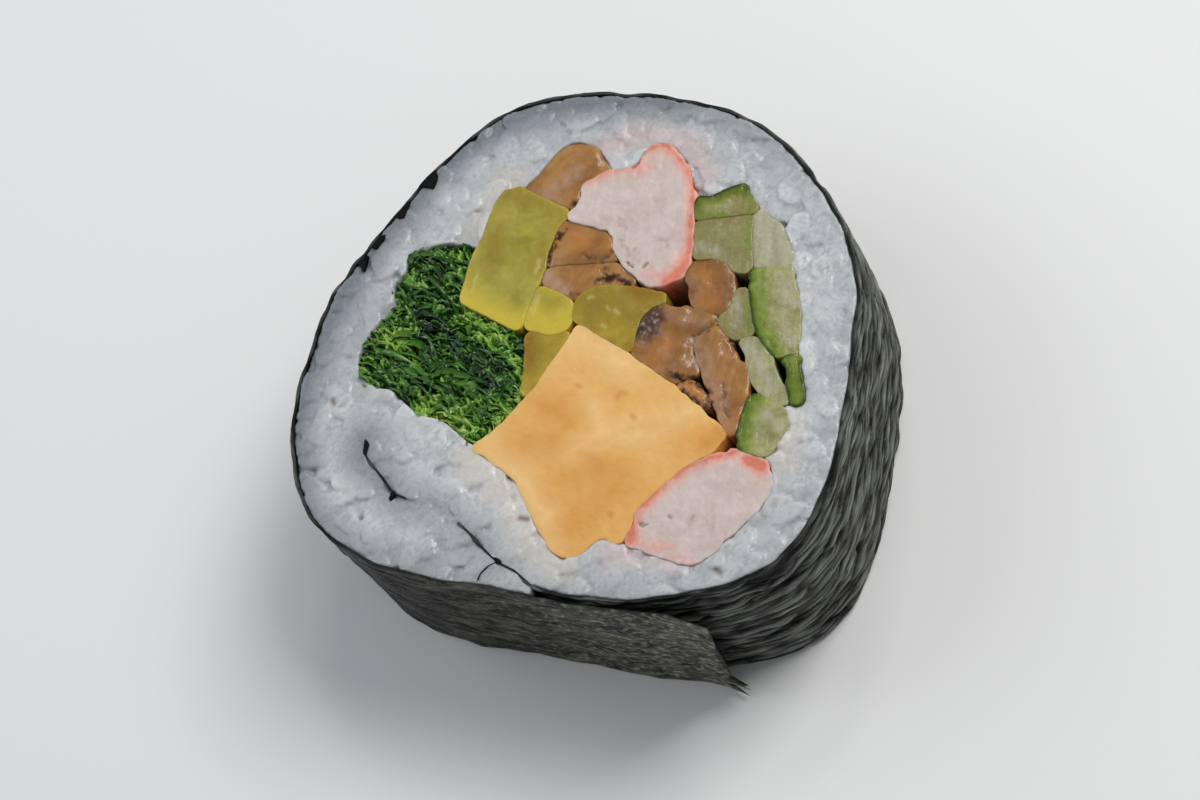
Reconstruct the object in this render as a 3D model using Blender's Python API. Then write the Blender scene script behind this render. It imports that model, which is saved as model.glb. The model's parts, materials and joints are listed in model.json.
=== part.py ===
"""One slice of a thick sushi roll, lying on its rear cut face.

The roll is a sheet of dried seaweed wound round a bed of rice and a bundle of long fillings:
greens, pickled radish, egg, crab sticks, simmered mushroom and gourd, and cucumber. The slice is cut
straight across the roll, so every layer and filling runs through it from face to face.

Axes: +Z is the roll's own axis, from the rear face on the table to the front face. +Y points to
the top of the slice as it stands when served. The origin is the middle of the bottom of its box.
Sizes in the tables below are in millimetres.
"""

import math

import bmesh
import bpy
from mathutils import Vector
from mathutils.geometry import intersect_line_line_2d

MM = 0.001

# The slice as a whole.
SLICE_THICKNESS = 20.0
DEPTH_STEPS = 3

# The seaweed sheet.
SHEET_THICKNESS = 0.4
SHEET_STEP = 1.7
FLAP_LENGTH = 15.0
FLAP_DRAW_BACK = (-2.2, 0.9)  # how far the flap's end moves from the front face to the rear one

# How closely things lie together.
FIT_GAP = 0.3
CORNER_CUT = 0.2
MOST_OF_A_SIDE = 0.3  # how much of a side one corner's cut may take

# The fillings lean a little on their way through the roll: a slow turn about its middle.
TURN_AT_REAR = math.radians(9.0)
TURN_RADIUS = 23.0

# The hole that the fillings take up in the rice, felt out from its middle.
BUNDLE_MIDDLE = (2.0, 1.0)
BUNDLE_RAYS = 120
RAY_LENGTH = 40.0

# The sheet's course on the cut face. It starts inside the rice, comes out at the bottom, runs once
# round the roll against the clock, and ends in a free flap below its own first stretch.
SHEET_TAIL = [
    (-20.1, -6.6), (-20.3, -8.3), (-18.6, -10.2), (-17.2, -12.2), (-15.0, -13.2), (-12.2, -14.6),
    (-9.8, -16.4), (-8.2, -18.4), (-6.8, -19.8), (-5.2, -20.7), (-4.3, -21.9), (-2.6, -22.8),
]
SHEET_ROUND = [
    (0.5, -23.8), (5.0, -24.6), (10.0, -24.4), (14.5, -23.8), (18.4, -22.2), (21.4, -19.1),
    (23.5, -14.5), (24.8, -9.0), (25.7, -3.5), (26.4, 3.0), (25.3, 9.5), (22.7, 14.7),
    (18.5, 20.2), (13.0, 23.8), (6.5, 25.8), (-1.5, 26.8), (-8.0, 25.4), (-13.0, 21.8),
    (-18.0, 16.4), (-22.5, 10.9), (-25.4, 5.4), (-27.0, -1.0), (-27.5, -6.5), (-25.9, -12.4),
    (-22.2, -16.7), (-17.0, -19.7), (-10.0, -21.7), (-4.0, -23.2),
]
SHEET_FLAP = [(0.5, -24.6), (4.5, -25.5), (9.0, -26.3), (12.5, -27.9)]

# Each filling: its node's name, what it is, how far it stands proud of the cut face, and the
# corners of its cut face, against the clock.
FILLINGS = [
    ("greens_bundle", "greens", 0.0, [
        (-16.9, 12.4), (-16.8, 10.3), (-18.1, 9.0), (-17.9, 6.8), (-20.6, 4.0), (-21.4, 1.8),
        (-20.9, -1.2), (-18.2, -1.4), (-15.2, -4.5), (-12.6, -5.4), (-10.2, -7.7), (-9.2, -7.7),
        (-7.6, -6.6), (-5.8, -4.6), (-5.2, -0.5), (-5.2, 1.9), (-6.4, 2.9), (-11.7, 6.3),
        (-10.6, 12.2), (-13.0, 12.7)]),
    ("radish_wide", "radish", 0.1, [
        (-11.3, 6.7), (-5.9, 3.3), (-5.4, 3.6), (-4.4, 6.4), (-3.4, 9.2), (-3.1, 10.6),
        (-2.1, 13.2), (-1.0, 14.6), (-4.6, 16.8), (-5.7, 17.5), (-7.3, 17.6), (-8.2, 16.2),
        (-9.1, 13.7)]),
    ("radish_small", "radish", -0.1, [
        (-3.6, 7.0), (-4.1, 6.1), (-4.9, 4.1), (-4.6, 3.2), (-2.6, 2.3), (-1.3, 2.5), (-0.6, 3.6),
        (-0.5, 4.7), (-0.9, 5.5), (-2.2, 6.4)]),
    ("radish_middle", "radish", 0.0, [
        (-0.1, 3.5), (1.0, 2.8), (4.7, 0.0), (5.2, -0.2), (5.5, 1.4), (5.9, 2.8), (7.0, 3.9),
        (8.3, 4.3), (8.2, 4.7), (6.9, 5.3), (5.0, 5.9), (2.1, 6.4), (1.1, 6.1), (0.3, 5.4),
        (-0.1, 4.4)]),
    ("radish_sliver", "radish", -0.3, [
        (-4.9, -3.3), (-4.5, -3.3), (-0.8, 1.9), (-1.2, 2.1), (-2.6, 1.9), (-4.2, 2.6),
        (-4.7, 2.1), (-4.8, -0.5)]),
    ("egg_block", "egg", 0.1, [
        (0.4, 2.6), (-4.0, -3.6), (-6.6, -6.3), (-9.6, -8.3), (-5.5, -12.0), (-3.2, -17.0),
        (-1.7, -19.4), (0.2, -20.2), (2.3, -18.4), (3.0, -18.3), (3.9, -19.0), (4.9, -18.0),
        (5.4, -17.0), (5.6, -15.9), (8.2, -13.7), (10.6, -11.9), (13.2, -10.6), (14.0, -9.4),
        (10.2, -5.6), (8.6, -3.8), (5.0, -0.9)]),
    ("crab_stick_upper", "crab", 0.2, [
        (0.4, 17.1), (0.6, 16.0), (0.4, 15.1), (-0.5, 14.4), (-0.9, 13.8), (2.8, 12.4),
        (3.5, 11.6), (3.8, 10.0), (4.6, 8.5), (5.7, 7.1), (7.1, 6.1), (8.3, 5.9), (9.6, 6.3),
        (10.4, 7.4), (10.9, 9.0), (11.1, 11.5), (11.1, 15.3), (10.9, 17.0), (10.3, 18.4),
        (9.5, 19.7), (8.8, 20.4), (7.4, 20.5), (6.6, 20.0), (6.1, 19.0), (5.4, 18.4),
        (3.5, 18.0), (1.6, 17.5)]),
    ("crab_stick_lower", "crab", 0.1, [
        (15.3, -11.3), (13.0, -11.6), (10.8, -12.4), (9.8, -13.0), (6.4, -15.9), (5.9, -16.8),
        (5.6, -17.9), (5.1, -18.8), (5.6, -19.4), (9.9, -21.4), (11.0, -21.6), (12.0, -21.4),
        (13.0, -20.8), (16.9, -17.3), (17.7, -16.5), (18.4, -15.1), (18.5, -14.2), (18.2, -13.3),
        (17.4, -12.4), (16.2, -11.8)]),
    ("mushroom_top", "mushroom", -0.1, [
        (-5.2, 17.6), (-4.4, 17.1), (-0.7, 14.9), (0.0, 15.3), (-0.1, 16.6), (0.4, 17.6),
        (2.6, 18.3), (2.8, 19.1), (2.2, 20.4), (1.2, 21.4), (-0.2, 21.8), (-1.5, 21.6),
        (-2.6, 20.5), (-3.9, 18.8)]),
    ("mushroom_fold", "mushroom", 0.0, [
        (-2.9, 9.4), (1.0, 9.2), (4.0, 9.0), (3.5, 9.9), (3.2, 11.4), (2.7, 12.0), (0.3, 12.9),
        (-1.0, 13.4), (-1.7, 12.9), (-2.5, 11.0)]),
    ("mushroom_gill", "mushroom", -0.1, [
        (-3.3, 8.0), (-2.8, 7.2), (-0.7, 5.8), (0.0, 5.8), (0.9, 6.5), (2.0, 6.8), (4.7, 6.4),
        (5.6, 6.3), (4.9, 7.5), (4.2, 8.4), (3.6, 8.7), (0.9, 8.9), (-2.6, 8.8)]),
    ("mushroom_cap_left", "mushroom", 0.1, [
        (5.6, -0.9), (8.6, -3.3), (9.4, -3.8), (10.8, -3.6), (11.7, -3.2), (11.0, -1.4),
        (10.9, -0.4), (11.3, 0.5), (12.0, 1.1), (13.2, 1.5), (13.2, 2.1), (12.0, 2.5),
        (9.8, 3.5), (8.3, 3.9), (7.1, 3.4), (6.4, 2.5), (5.9, 1.2)]),
    ("mushroom_cap_right", "mushroom", 0.1, [
        (11.3, -0.3), (11.4, -1.2), (12.2, -3.4), (12.9, -5.6), (14.3, -9.2), (14.9, -9.4),
        (15.3, -8.0), (15.9, -6.2), (16.2, -4.6), (16.0, -3.4), (15.3, -1.8), (14.6, -0.7),
        (13.8, 0.6), (13.2, 1.1), (12.3, 0.8), (11.6, 0.4)]),
    ("mushroom_shred", "mushroom", -0.4, [
        (9.7, -4.2), (10.4, -5.0), (12.7, -7.0), (12.1, -5.0), (11.8, -4.0), (10.8, -4.0)]),
    ("gourd_strip", "gourd", 0.0, [
        (10.6, 4.2), (11.2, 3.5), (12.3, 2.9), (13.6, 2.4), (14.2, 2.8), (14.6, 3.8),
        (14.9, 5.0), (14.8, 6.0), (14.2, 7.1), (13.3, 7.7), (12.0, 7.9), (11.0, 7.8),
        (10.7, 6.5)]),
    ("cucumber_peaked", "cucumber", 0.0, [
        (11.4, 12.2), (16.9, 12.3), (17.0, 12.9), (16.5, 14.3), (16.3, 15.3), (14.4, 14.9),
        (12.8, 14.2), (11.5, 14.1)]),
    ("cucumber_square", "cucumber", 0.1, [
        (11.3, 8.2), (13.3, 8.1), (14.5, 7.5), (15.2, 6.6), (16.5, 6.5), (16.6, 11.9),
        (11.4, 11.9)]),
    ("cucumber_pale", "cucumber", -0.2, [
        (17.0, 6.7), (20.2, 6.6), (20.5, 8.0), (20.2, 9.3), (19.4, 10.8), (17.6, 12.0),
        (17.0, 12.0)]),
    ("cucumber_long", "cucumber", 0.2, [
        (16.7, 6.3), (16.7, 3.5), (17.0, 1.2), (17.7, -0.7), (18.8, -2.2), (20.7, -2.3),
        (21.1, -0.5), (21.2, 1.5), (20.9, 4.2), (20.2, 6.3)]),
    ("cucumber_stub", "cucumber", 0.0, [
        (14.2, 0.7), (14.8, -0.1), (16.4, -0.1), (16.6, 0.9), (16.3, 2.5), (16.2, 4.3),
        (15.2, 4.2), (14.9, 3.2), (14.5, 2.3), (13.7, 1.9)]),
    ("cucumber_slant", "cucumber", 0.0, [
        (15.2, -0.6), (16.3, -2.6), (16.7, -4.3), (17.3, -5.4), (18.3, -6.4), (19.3, -7.0),
        (19.8, -6.8), (19.6, -5.7), (18.9, -3.7), (18.0, -2.1), (17.1, -0.7), (16.6, -0.5)]),
    ("cucumber_thin", "cucumber", 0.0, [
        (19.6, -2.8), (19.8, -4.3), (20.2, -6.6), (20.6, -7.2), (21.3, -7.2), (21.4, -6.3),
        (21.2, -4.5), (20.9, -2.7)]),
    ("cucumber_low", "cucumber", 0.1, [
        (16.6, -6.2), (15.8, -7.7), (15.4, -9.6), (15.4, -10.9), (17.3, -11.8), (18.3, -11.6),
        (19.3, -10.7), (20.1, -9.3), (19.9, -8.3), (18.6, -7.2), (17.3, -6.4)]),
]

# Colour (linear red, green, blue) and roughness of each material.
FINISHES = {
    "seaweed": ((0.025, 0.032, 0.026), 0.50),
    "rice": ((0.62, 0.66, 0.70), 0.40),
    "greens": ((0.020, 0.110, 0.015), 0.45),
    "radish": ((0.50, 0.44, 0.060), 0.30),
    "egg": ((0.80, 0.46, 0.13), 0.40),
    "crab": ((0.72, 0.60, 0.55), 0.40),
    "mushroom": ((0.32, 0.165, 0.070), 0.30),
    "gourd": ((0.40, 0.23, 0.10), 0.30),
    "cucumber": ((0.36, 0.42, 0.17), 0.30),
}


def smooth_path(points, step):
    """Points about `step` apart on a smooth curve through the given ones."""
    first = 2 * Vector(points[0]) - Vector(points[1])
    last = 2 * Vector(points[-1]) - Vector(points[-2])
    knots = [first, *map(Vector, points), last]
    path = []
    for before, start, end, after in zip(knots, knots[1:], knots[2:], knots[3:]):
        pieces = max(1, round((end - start).length / step))
        for piece in range(pieces):
            t = piece / pieces
            path.append(
                0.5 * (2 * start + (end - before) * t
                       + (2 * before - 5 * start + 4 * end - after) * t ** 2
                       + (3 * start - before - 3 * end + after) * t ** 3)
            )
    path.append(Vector(points[-1]))
    return path


def shifted_left(points, distance, closed):
    """The line moved to its left by a distance. Left of a loop drawn against the clock is inside."""
    moved = []
    last = len(points) - 1
    for i, point in enumerate(points):
        before = points[i - 1] if closed or i else point
        after = points[(i + 1) % len(points)] if closed or i < last else point
        along_in = (point - before if before != point else after - point).normalized()
        along_out = (after - point if after != point else point - before).normalized()
        across = (along_in + along_out).normalized().orthogonal()
        stretch = max(0.5, across.dot(along_in.orthogonal()))
        moved.append(point + across * (distance / stretch))
    return moved


def cut_corners(corners, cut):
    """A loop with each corner cut off, at most `cut` from it."""
    loop = []
    for i, corner in enumerate(corners):
        for other in (corners[i - 1], corners[(i + 1) % len(corners)]):
            side = other - corner
            loop.append(corner + side * min(MOST_OF_A_SIDE, cut / side.length))
    return loop


def crossing(path_a, path_b):
    """Where two lines cross: the point, and the number of the segment on each."""
    for i, (a, b) in enumerate(zip(path_a, path_a[1:])):
        for j, (c, d) in enumerate(zip(path_b, path_b[1:])):
            point = intersect_line_line_2d(a, b, c, d)
            if point is not None:
                return point, i, j
    raise ValueError("the two lines don't cross")


def bundle_outline(loops, gap):
    """The outline, seen from the bundle's middle, that clears every loop by the gap."""
    middle = Vector(BUNDLE_MIDDLE)
    sides = []
    for loop in loops:
        swollen = shifted_left(loop, -gap, closed=True)
        sides += zip(swollen, swollen[1:] + swollen[:1])
    reaches = []
    for ray in range(BUNDLE_RAYS):
        angle = 2 * math.pi * ray / BUNDLE_RAYS
        heading = Vector((math.cos(angle), math.sin(angle)))
        hits = (intersect_line_line_2d(middle, middle + heading * RAY_LENGTH, a, b) for a, b in sides)
        reaches.append(max((hit - middle).length for hit in hits if hit is not None))
    outline = []
    for ray, reach in enumerate(reaches):
        angle = 2 * math.pi * ray / BUNDLE_RAYS
        widest = max(reaches[ray - 1], reach, reaches[(ray + 1) % BUNDLE_RAYS])
        outline.append(middle + Vector((math.cos(angle), math.sin(angle))) * widest)
    return outline


def leaned(point):
    """A point in millimetres after the slow turn that the bundle makes on its way to the rear."""
    depth = 1 - point.z / SLICE_THICKNESS
    radius = math.hypot(point.x, point.y)
    share = max(0.0, 1 - (radius / TURN_RADIUS) ** 2)
    turn = TURN_AT_REAR * depth * share
    return Vector((
        point.x * math.cos(turn) - point.y * math.sin(turn),
        point.x * math.sin(turn) + point.y * math.cos(turn),
        point.z,
    ))


def add_object(name, mesh_builder, material, parent):
    """Turns a bmesh in millimetres into a named object in metres."""
    for vert in mesh_builder.verts:
        vert.co = leaned(vert.co) * MM
    mesh = bpy.data.meshes.new(name)
    mesh_builder.to_mesh(mesh)
    mesh_builder.free()
    mesh.materials.append(material)
    obj = bpy.data.objects.new(name, mesh)
    obj.parent = parent
    bpy.context.scene.collection.objects.link(obj)
    return obj


def run_through(name, loops, height, material, parent):
    """A solid whose cut face is bounded by the loops, the outer one first and then its holes."""
    builder = bmesh.new()
    edges = []
    for loop in loops:
        verts = [builder.verts.new((point.x, point.y, 0.0)) for point in loop]
        edges += [builder.edges.new(pair) for pair in zip(verts, verts[1:] + verts[:1])]
    bmesh.ops.triangle_fill(builder, use_beauty=True, edges=edges, normal=(0, 0, -1))
    region = [*builder.faces, *builder.edges]
    for _ in range(DEPTH_STEPS):
        region = bmesh.ops.extrude_face_region(builder, geom=region)["geom"]
        verts = [item for item in region if isinstance(item, bmesh.types.BMVert)]
        bmesh.ops.translate(builder, verts=verts, vec=(0, 0, height / DEPTH_STEPS))
    bmesh.ops.recalc_face_normals(builder, faces=builder.faces)
    return add_object(name, builder, material, parent)


def seaweed_sheet(path, material, parent):
    """The sheet: its course drawn up into a ribbon as tall as the slice, then given its thickness."""
    lengths = [0.0]
    for start, end in zip(path, path[1:]):
        lengths.append(lengths[-1] + (end - start).length)
    builder = bmesh.new()
    rows = []
    for step in range(DEPTH_STEPS + 1):
        rise = step / DEPTH_STEPS
        row = []
        for point, length in zip(path, lengths):
            on_flap = max(0.0, 1 - (lengths[-1] - length) / FLAP_LENGTH)
            drawn = Vector(FLAP_DRAW_BACK) * (1 - rise) * on_flap ** 2
            row.append(builder.verts.new((*(point + drawn), rise * SLICE_THICKNESS)))
        rows.append(row)
    for low, high in zip(rows, rows[1:]):
        for a, b, c, d in zip(low, low[1:], high[1:], high):
            builder.faces.new((a, b, c, d))
    obj = add_object("seaweed_wrap", builder, material, parent)
    thicken = obj.modifiers.new("thickness", "SOLIDIFY")
    thicken.thickness = SHEET_THICKNESS * MM
    thicken.offset = 0.0
    thicken.use_even_offset = True
    return obj


def rice_outline(path, tail_count):
    """The rice's outer loop: inside the sheet all round, with a slot for the sheet's own tail."""
    clear = SHEET_THICKNESS / 2 + FIT_GAP
    slot_end = path[0] + (path[0] - path[1]).normalized() * FIT_GAP
    inner = shifted_left(path, clear, closed=False)
    tail_outer = shifted_left(path[:tail_count], -clear, closed=False)
    half = len(inner) // 2
    point, i, j = crossing(inner[half:], tail_outer)
    return [slot_end, *inner[:half + i + 1], point, *reversed(tail_outer[:j + 1])]


def clear_scene():
    for obj in list(bpy.data.objects):
        bpy.data.objects.remove(obj, do_unlink=True)


def make_material(name):
    colour, roughness = FINISHES[name]
    material = bpy.data.materials.new(name)
    material.use_nodes = True
    shader = material.node_tree.nodes["Principled BSDF"]
    shader.inputs["Base Color"].default_value = (*colour, 1.0)
    shader.inputs["Roughness"].default_value = roughness
    shader.inputs["Metallic"].default_value = 0.0
    return material


def box_middle(path):
    """The middle of the slice's box on the table, which becomes the origin."""
    skin = SHEET_THICKNESS / 2
    outer = path + shifted_left(path, -skin, closed=False)
    xs = [point.x for point in outer]
    ys = [point.y for point in outer]
    return Vector(((min(xs) + max(xs)) / 2, (min(ys) + max(ys)) / 2, 0.0))


def build():
    clear_scene()
    materials = {name: make_material(name) for name in FINISHES}
    tail_count = len(smooth_path(SHEET_TAIL, SHEET_STEP))
    path = smooth_path(SHEET_TAIL + SHEET_ROUND + SHEET_FLAP, SHEET_STEP)

    slice_frame = bpy.data.objects.new("slice_frame", None)
    slice_frame.location = -box_middle(path) * MM
    bpy.context.scene.collection.objects.link(slice_frame)

    seaweed_sheet(path, materials["seaweed"], slice_frame)
    loops = []
    for name, kind, proud, corners in FILLINGS:
        drawn_in = shifted_left([Vector(corner) for corner in corners], FIT_GAP / 2, closed=True)
        loop = cut_corners(drawn_in, CORNER_CUT)
        loops.append(loop)
        run_through(name, [loop], SLICE_THICKNESS + proud, materials[kind], slice_frame)
    rice_loops = [rice_outline(path, tail_count), bundle_outline(loops, FIT_GAP)]
    run_through("rice_bed", rice_loops, SLICE_THICKNESS, materials["rice"], slice_frame)


build()
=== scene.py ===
# %% [markdown]
# # A slice of a thick sushi roll
#
# This lesson dresses one slice of futomaki: a sheet of seaweed wound round rice and a bundle of
# long fillings, cut straight across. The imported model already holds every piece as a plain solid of
# the right size. Here each of them gets its fine shape and its finish: real grains for the rice,
# curled leaves for the greens, wrinkles for the seaweed.
#
# The slice lies on its rear cut face, so +Z points out of the front cut face, which is the one to
# look at. All sizes in this script are millimetres, and turn into metres only when a mesh is made.

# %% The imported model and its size
import json
import math

import bmesh
import bpy
import numpy as np
from mathutils import Matrix, Vector, geometry, kdtree, noise

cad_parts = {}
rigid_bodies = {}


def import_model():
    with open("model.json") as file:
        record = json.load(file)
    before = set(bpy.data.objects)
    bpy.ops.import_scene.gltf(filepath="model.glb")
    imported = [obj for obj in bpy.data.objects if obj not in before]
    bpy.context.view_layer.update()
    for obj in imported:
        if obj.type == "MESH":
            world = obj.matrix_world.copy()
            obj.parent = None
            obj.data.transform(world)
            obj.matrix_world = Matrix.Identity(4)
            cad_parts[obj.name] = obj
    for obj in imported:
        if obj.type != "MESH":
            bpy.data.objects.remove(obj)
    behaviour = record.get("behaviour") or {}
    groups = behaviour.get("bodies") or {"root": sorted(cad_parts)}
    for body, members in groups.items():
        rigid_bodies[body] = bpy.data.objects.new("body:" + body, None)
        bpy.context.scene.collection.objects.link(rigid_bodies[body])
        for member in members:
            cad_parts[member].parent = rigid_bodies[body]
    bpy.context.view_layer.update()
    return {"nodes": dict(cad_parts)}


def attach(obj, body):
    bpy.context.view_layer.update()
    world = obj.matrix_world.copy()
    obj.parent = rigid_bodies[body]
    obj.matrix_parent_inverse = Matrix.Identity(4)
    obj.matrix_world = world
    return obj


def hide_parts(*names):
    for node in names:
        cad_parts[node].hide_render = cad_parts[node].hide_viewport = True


for leftover in list(bpy.data.objects):
    bpy.data.objects.remove(leftover)
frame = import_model()

# %% [markdown]
# ## Driving sizes
#
# Most places come from the model itself. What it can't say is written here: where the roll's own
# axis stands, and how far the bundle of fillings turns about it on its way from the front cut
# face to the rear one. The model's solids lean by the same rule, so each piece made here
# stays inside its own solid.

# %% Driving sizes
MM = 0.001
THICKNESS = 20.0
ROLL_AXIS = np.array((0.565, 0.539))
TURN_AT_REAR = math.radians(9.0)
TURN_RADIUS = 23.0


def leaned(flat, height):
    """Points of the front face, moved to where they lie at a height above the rear face."""
    depth = 1 - np.asarray(height) / THICKNESS
    radius = np.hypot(flat[:, 0], flat[:, 1])
    turn = TURN_AT_REAR * depth * np.clip(1 - (radius / TURN_RADIUS) ** 2, 0, None)
    x = flat[:, 0] * np.cos(turn) - flat[:, 1] * np.sin(turn)
    y = flat[:, 0] * np.sin(turn) + flat[:, 1] * np.cos(turn)
    return np.column_stack((x, y))


def in_frame(flat, height):
    """Millimetres about the roll's axis to metres in the model's frame."""
    moved = leaned(flat, height) + ROLL_AXIS
    return np.column_stack((moved, np.broadcast_to(height, len(flat)))) * MM


# %% [markdown]
# ## Reading a cut face from the model
#
# A node's mesh is loose triangles, so a copy of it is welded first. The triangles that lie flat at
# the front make its cut face, and the edges that only one of them uses are its outline. Walking
# from edge to edge gives the outline as an ordered loop.

# %% Reading outlines
WELD_WITHIN = 0.01 * MM
FLAT_WITHIN = 0.05 * MM


def welded(node):
    """A copy of a node's mesh to work on, with its loose triangles joined."""
    work = bmesh.new()
    work.from_mesh(frame["nodes"][node].data)
    bmesh.ops.remove_doubles(work, verts=work.verts, dist=WELD_WITHIN)
    return work


def cut_loops(node, front=True):
    """The loops of points that bound a node's cut face, the longest first."""
    work = welded(node)
    level = max(vert.co.z for vert in work.verts) if front else 0
    cap = [face for face in work.faces
           if all(abs(vert.co.z - level) < FLAT_WITHIN for vert in face.verts)]
    in_cap = set(cap)
    ways = {}
    for face in cap:
        for corner in face.loops:
            if not any(other in in_cap for other in corner.edge.link_faces if other is not face):
                ways[corner.vert] = corner.link_loop_next.vert
    loops = []
    while ways:
        start, vert = ways.popitem()
        loop = [start.co.xy / MM, vert.co.xy / MM]
        while vert in ways:
            vert = ways.pop(vert)
            loop.append(vert.co.xy / MM)
        loop = np.array(loop[:-1]) - ROLL_AXIS
        loops.append(loop if front else loop[::-1])
    work.free()
    return sorted(loops, key=len, reverse=True)


outlines = {name: cut_loops(name)[0] for name in frame["nodes"]}
print("corners:", {name: len(loop) for name, loop in outlines.items()})

# %% [markdown]
# ## Smooth outlines
#
# The solids have few corners. Walking along a loop in equal steps gives points that are evenly
# spaced, and averaging each with its neighbours rounds the corners a little. A loop can also be
# moved outwards, along its own normals.

# %% Smooth outlines
PAIRS_AT_ONCE = 2_000_000


def even_steps(line, step=None, count=None, closed=True):
    """Points at equal steps along a line, as long as the step or as many as the count."""
    ends = np.vstack((line, line[:1])) if closed else line
    along = np.concatenate(([0], np.cumsum(np.linalg.norm(np.diff(ends, axis=0), axis=1))))
    count = count or max(6, round(along[-1] / step))
    marks = np.linspace(0, along[-1], count, endpoint=not closed)
    return np.column_stack([np.interp(marks, along, ends[:, axis]) for axis in (0, 1)])


def swollen(loop, distance):
    """A loop drawn against the clock, moved outwards."""
    along = np.roll(loop, -1, axis=0) - np.roll(loop, 1, axis=0)
    along /= np.linalg.norm(along, axis=1, keepdims=True)
    return loop + distance * np.column_stack((along[:, 1], -along[:, 0]))


def rounded(loop, reach=1):
    """A closed loop of even steps, averaged over a few of its neighbours."""
    weights = np.hanning(2 * reach + 3)[1:-1]
    weights /= weights.sum()
    return sum(w * np.roll(loop, i - reach, axis=0) for i, w in enumerate(weights))


def distance_to_line(points, line, closed=True):
    """How far each point is from the nearest point of a line."""
    start = line if closed else line[:-1]
    way = (np.roll(line, -1, axis=0) if closed else line[1:]) - start
    length2 = np.maximum((way ** 2).sum(axis=1), 1e-12)
    nearest = []
    for batch in np.array_split(points, max(1, len(points) * len(start) // PAIRS_AT_ONCE)):
        offset = batch[:, None] - start
        share = np.clip((offset * way).sum(axis=2) / length2, 0, 1)
        nearest.append(np.linalg.norm(offset - share[..., None] * way, axis=2).min(axis=1))
    return np.concatenate(nearest)


# %% [markdown]
# ## Fillings that press together
#
# The solids keep clear of each other, where real fillings touch. So each outline grows by half of
# its distance to a near neighbour, and by a little where it faces the rice. A corner grows further
# than a straight side, or it would turn round. A few pockets between the fillings stay open and
# dark, so the outlines grow little there.

# %% Outlines that touch
GROWTH_AT_GAP = ([0.2, 1.1, 1.8], [0.1, 0.55, 0.2])
POCKET_GROWTH = 0.1
OVERLAP = 0.05
RAGGED_SIZE = 0.9
LEAST_HALF_TURN = 0.62
POCKETS = [((9.8, 4.7), 1.5), ((15.6, 5.3), 0.8), ((14.7, -10.2), 0.9), ((15.4, -1.8), 1.0),
           ((19.1, -4.2), 1.2), ((11.8, -4.6), 0.8)]
LOOP_STEP = 0.25
LAYER_STRENGTH = 0.8
LAYER_FINENESS = 2.1
SEEDS_APART = 7.3
smooth_loops = {name: rounded(even_steps(loop, LOOP_STEP)) for name, loop in outlines.items()
                if name not in ("seaweed_wrap", "rice_bed")}


def lumps(flat, size, layers=3, seed=0):
    """Soft noise, about -1 to 1, with bumps of a size."""
    level = seed * SEEDS_APART
    return np.array([
        noise.fractal(Vector((x / size, y / size, level)), LAYER_STRENGTH, LAYER_FINENESS, layers)
        for x, y in flat
    ])


def mitre(loop, window=3):
    """How much further than a straight side each point of a growing outline has to go."""
    before = loop - np.roll(loop, window, axis=0)
    after = np.roll(loop, -window, axis=0) - loop
    before /= np.linalg.norm(before, axis=1, keepdims=True)
    after /= np.linalg.norm(after, axis=1, keepdims=True)
    turns_left = before[:, 0] * after[:, 1] - before[:, 1] * after[:, 0] > 0
    half_turn = np.sqrt((1 + (before * after).sum(axis=1)) / 2)
    return np.where(turns_left, 1 / np.clip(half_turn, LEAST_HALF_TURN, 1), 1)


def touching(name, ragged=0.0):
    """A filling's outline, grown half way to its neighbours and made ragged by so many millimetres."""
    loop = smooth_loops[name]
    others = [other for title, other in smooth_loops.items() if title != name]
    gap = np.min([distance_to_line(loop, other) for other in others], axis=0)
    growth = np.interp(gap, *GROWTH_AT_GAP) * mitre(loop)
    for place, size in POCKETS:
        near = np.linalg.norm(loop - np.array(place), axis=1) < size
        growth[near] = np.minimum(growth[near], POCKET_GROWTH)
    growth = rounded(growth) + OVERLAP + ragged * lumps(loop, RAGGED_SIZE, 3, seed=20)
    return even_steps(swollen(loop, growth[:, None]), LOOP_STEP)


# %% [markdown]
# ## A piece that runs through the roll
#
# Each filling is a strip as long as the slice is thick. Its two cut faces are what shows, so they
# get a fine even mesh: points on a honeycomb inside the outline, joined by a Delaunay
# triangulation. Near the outline the face rolls over into the wall, as soft food does at a cut.
# A relief, in millimetres, lifts or lowers each point of the face.

# %% A piece that runs through
RING_SHARES = (0.15, 0.5, 1.0)
REAR_RELIEF = 0.5
BEND_SIZE = 0.7
flat_of = {}


def inside(points, loop):
    """Which points lie inside a loop."""
    x, y = points[:, :1], points[:, 1:]
    x0, y0 = loop[:, 0], loop[:, 1]
    x1, y1 = np.roll(x0, -1), np.roll(y0, -1)
    spans = (y0 > y) != (y1 > y)
    rise = np.where(y1 == y0, 1.0, y1 - y0)
    return (spans & (x < x0 + (y - y0) * (x1 - x0) / rise)).sum(axis=1) % 2 == 1


def honeycomb(loop, step):
    """Points of a honeycomb over the whole of a loop's box."""
    low, high = loop.min(axis=0), loop.max(axis=0)
    rows = np.arange(low[1], high[1], step * math.sqrt(3) / 2)
    return np.array([
        (x, y) for i, y in enumerate(rows) for x in np.arange(low[0] + i % 2 * step / 2, high[0], step)
    ])


def triangulated(loops, points, inside_only, apart):
    """Points and triangles that keep the loops' sides. The loops' own points come first."""
    sides, start = [], 0
    for loop in loops:
        sides += [(start + i, start + (i + 1) % len(loop)) for i in range(len(loop))]
        start += len(loop)
    flat = [Vector(place) for place in np.vstack([*loops, *points])]
    verts, _, faces, _, _, _ = geometry.delaunay_2d_cdt(flat, sides, [], int(inside_only), apart)
    return np.array(verts), np.array(faces)


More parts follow.
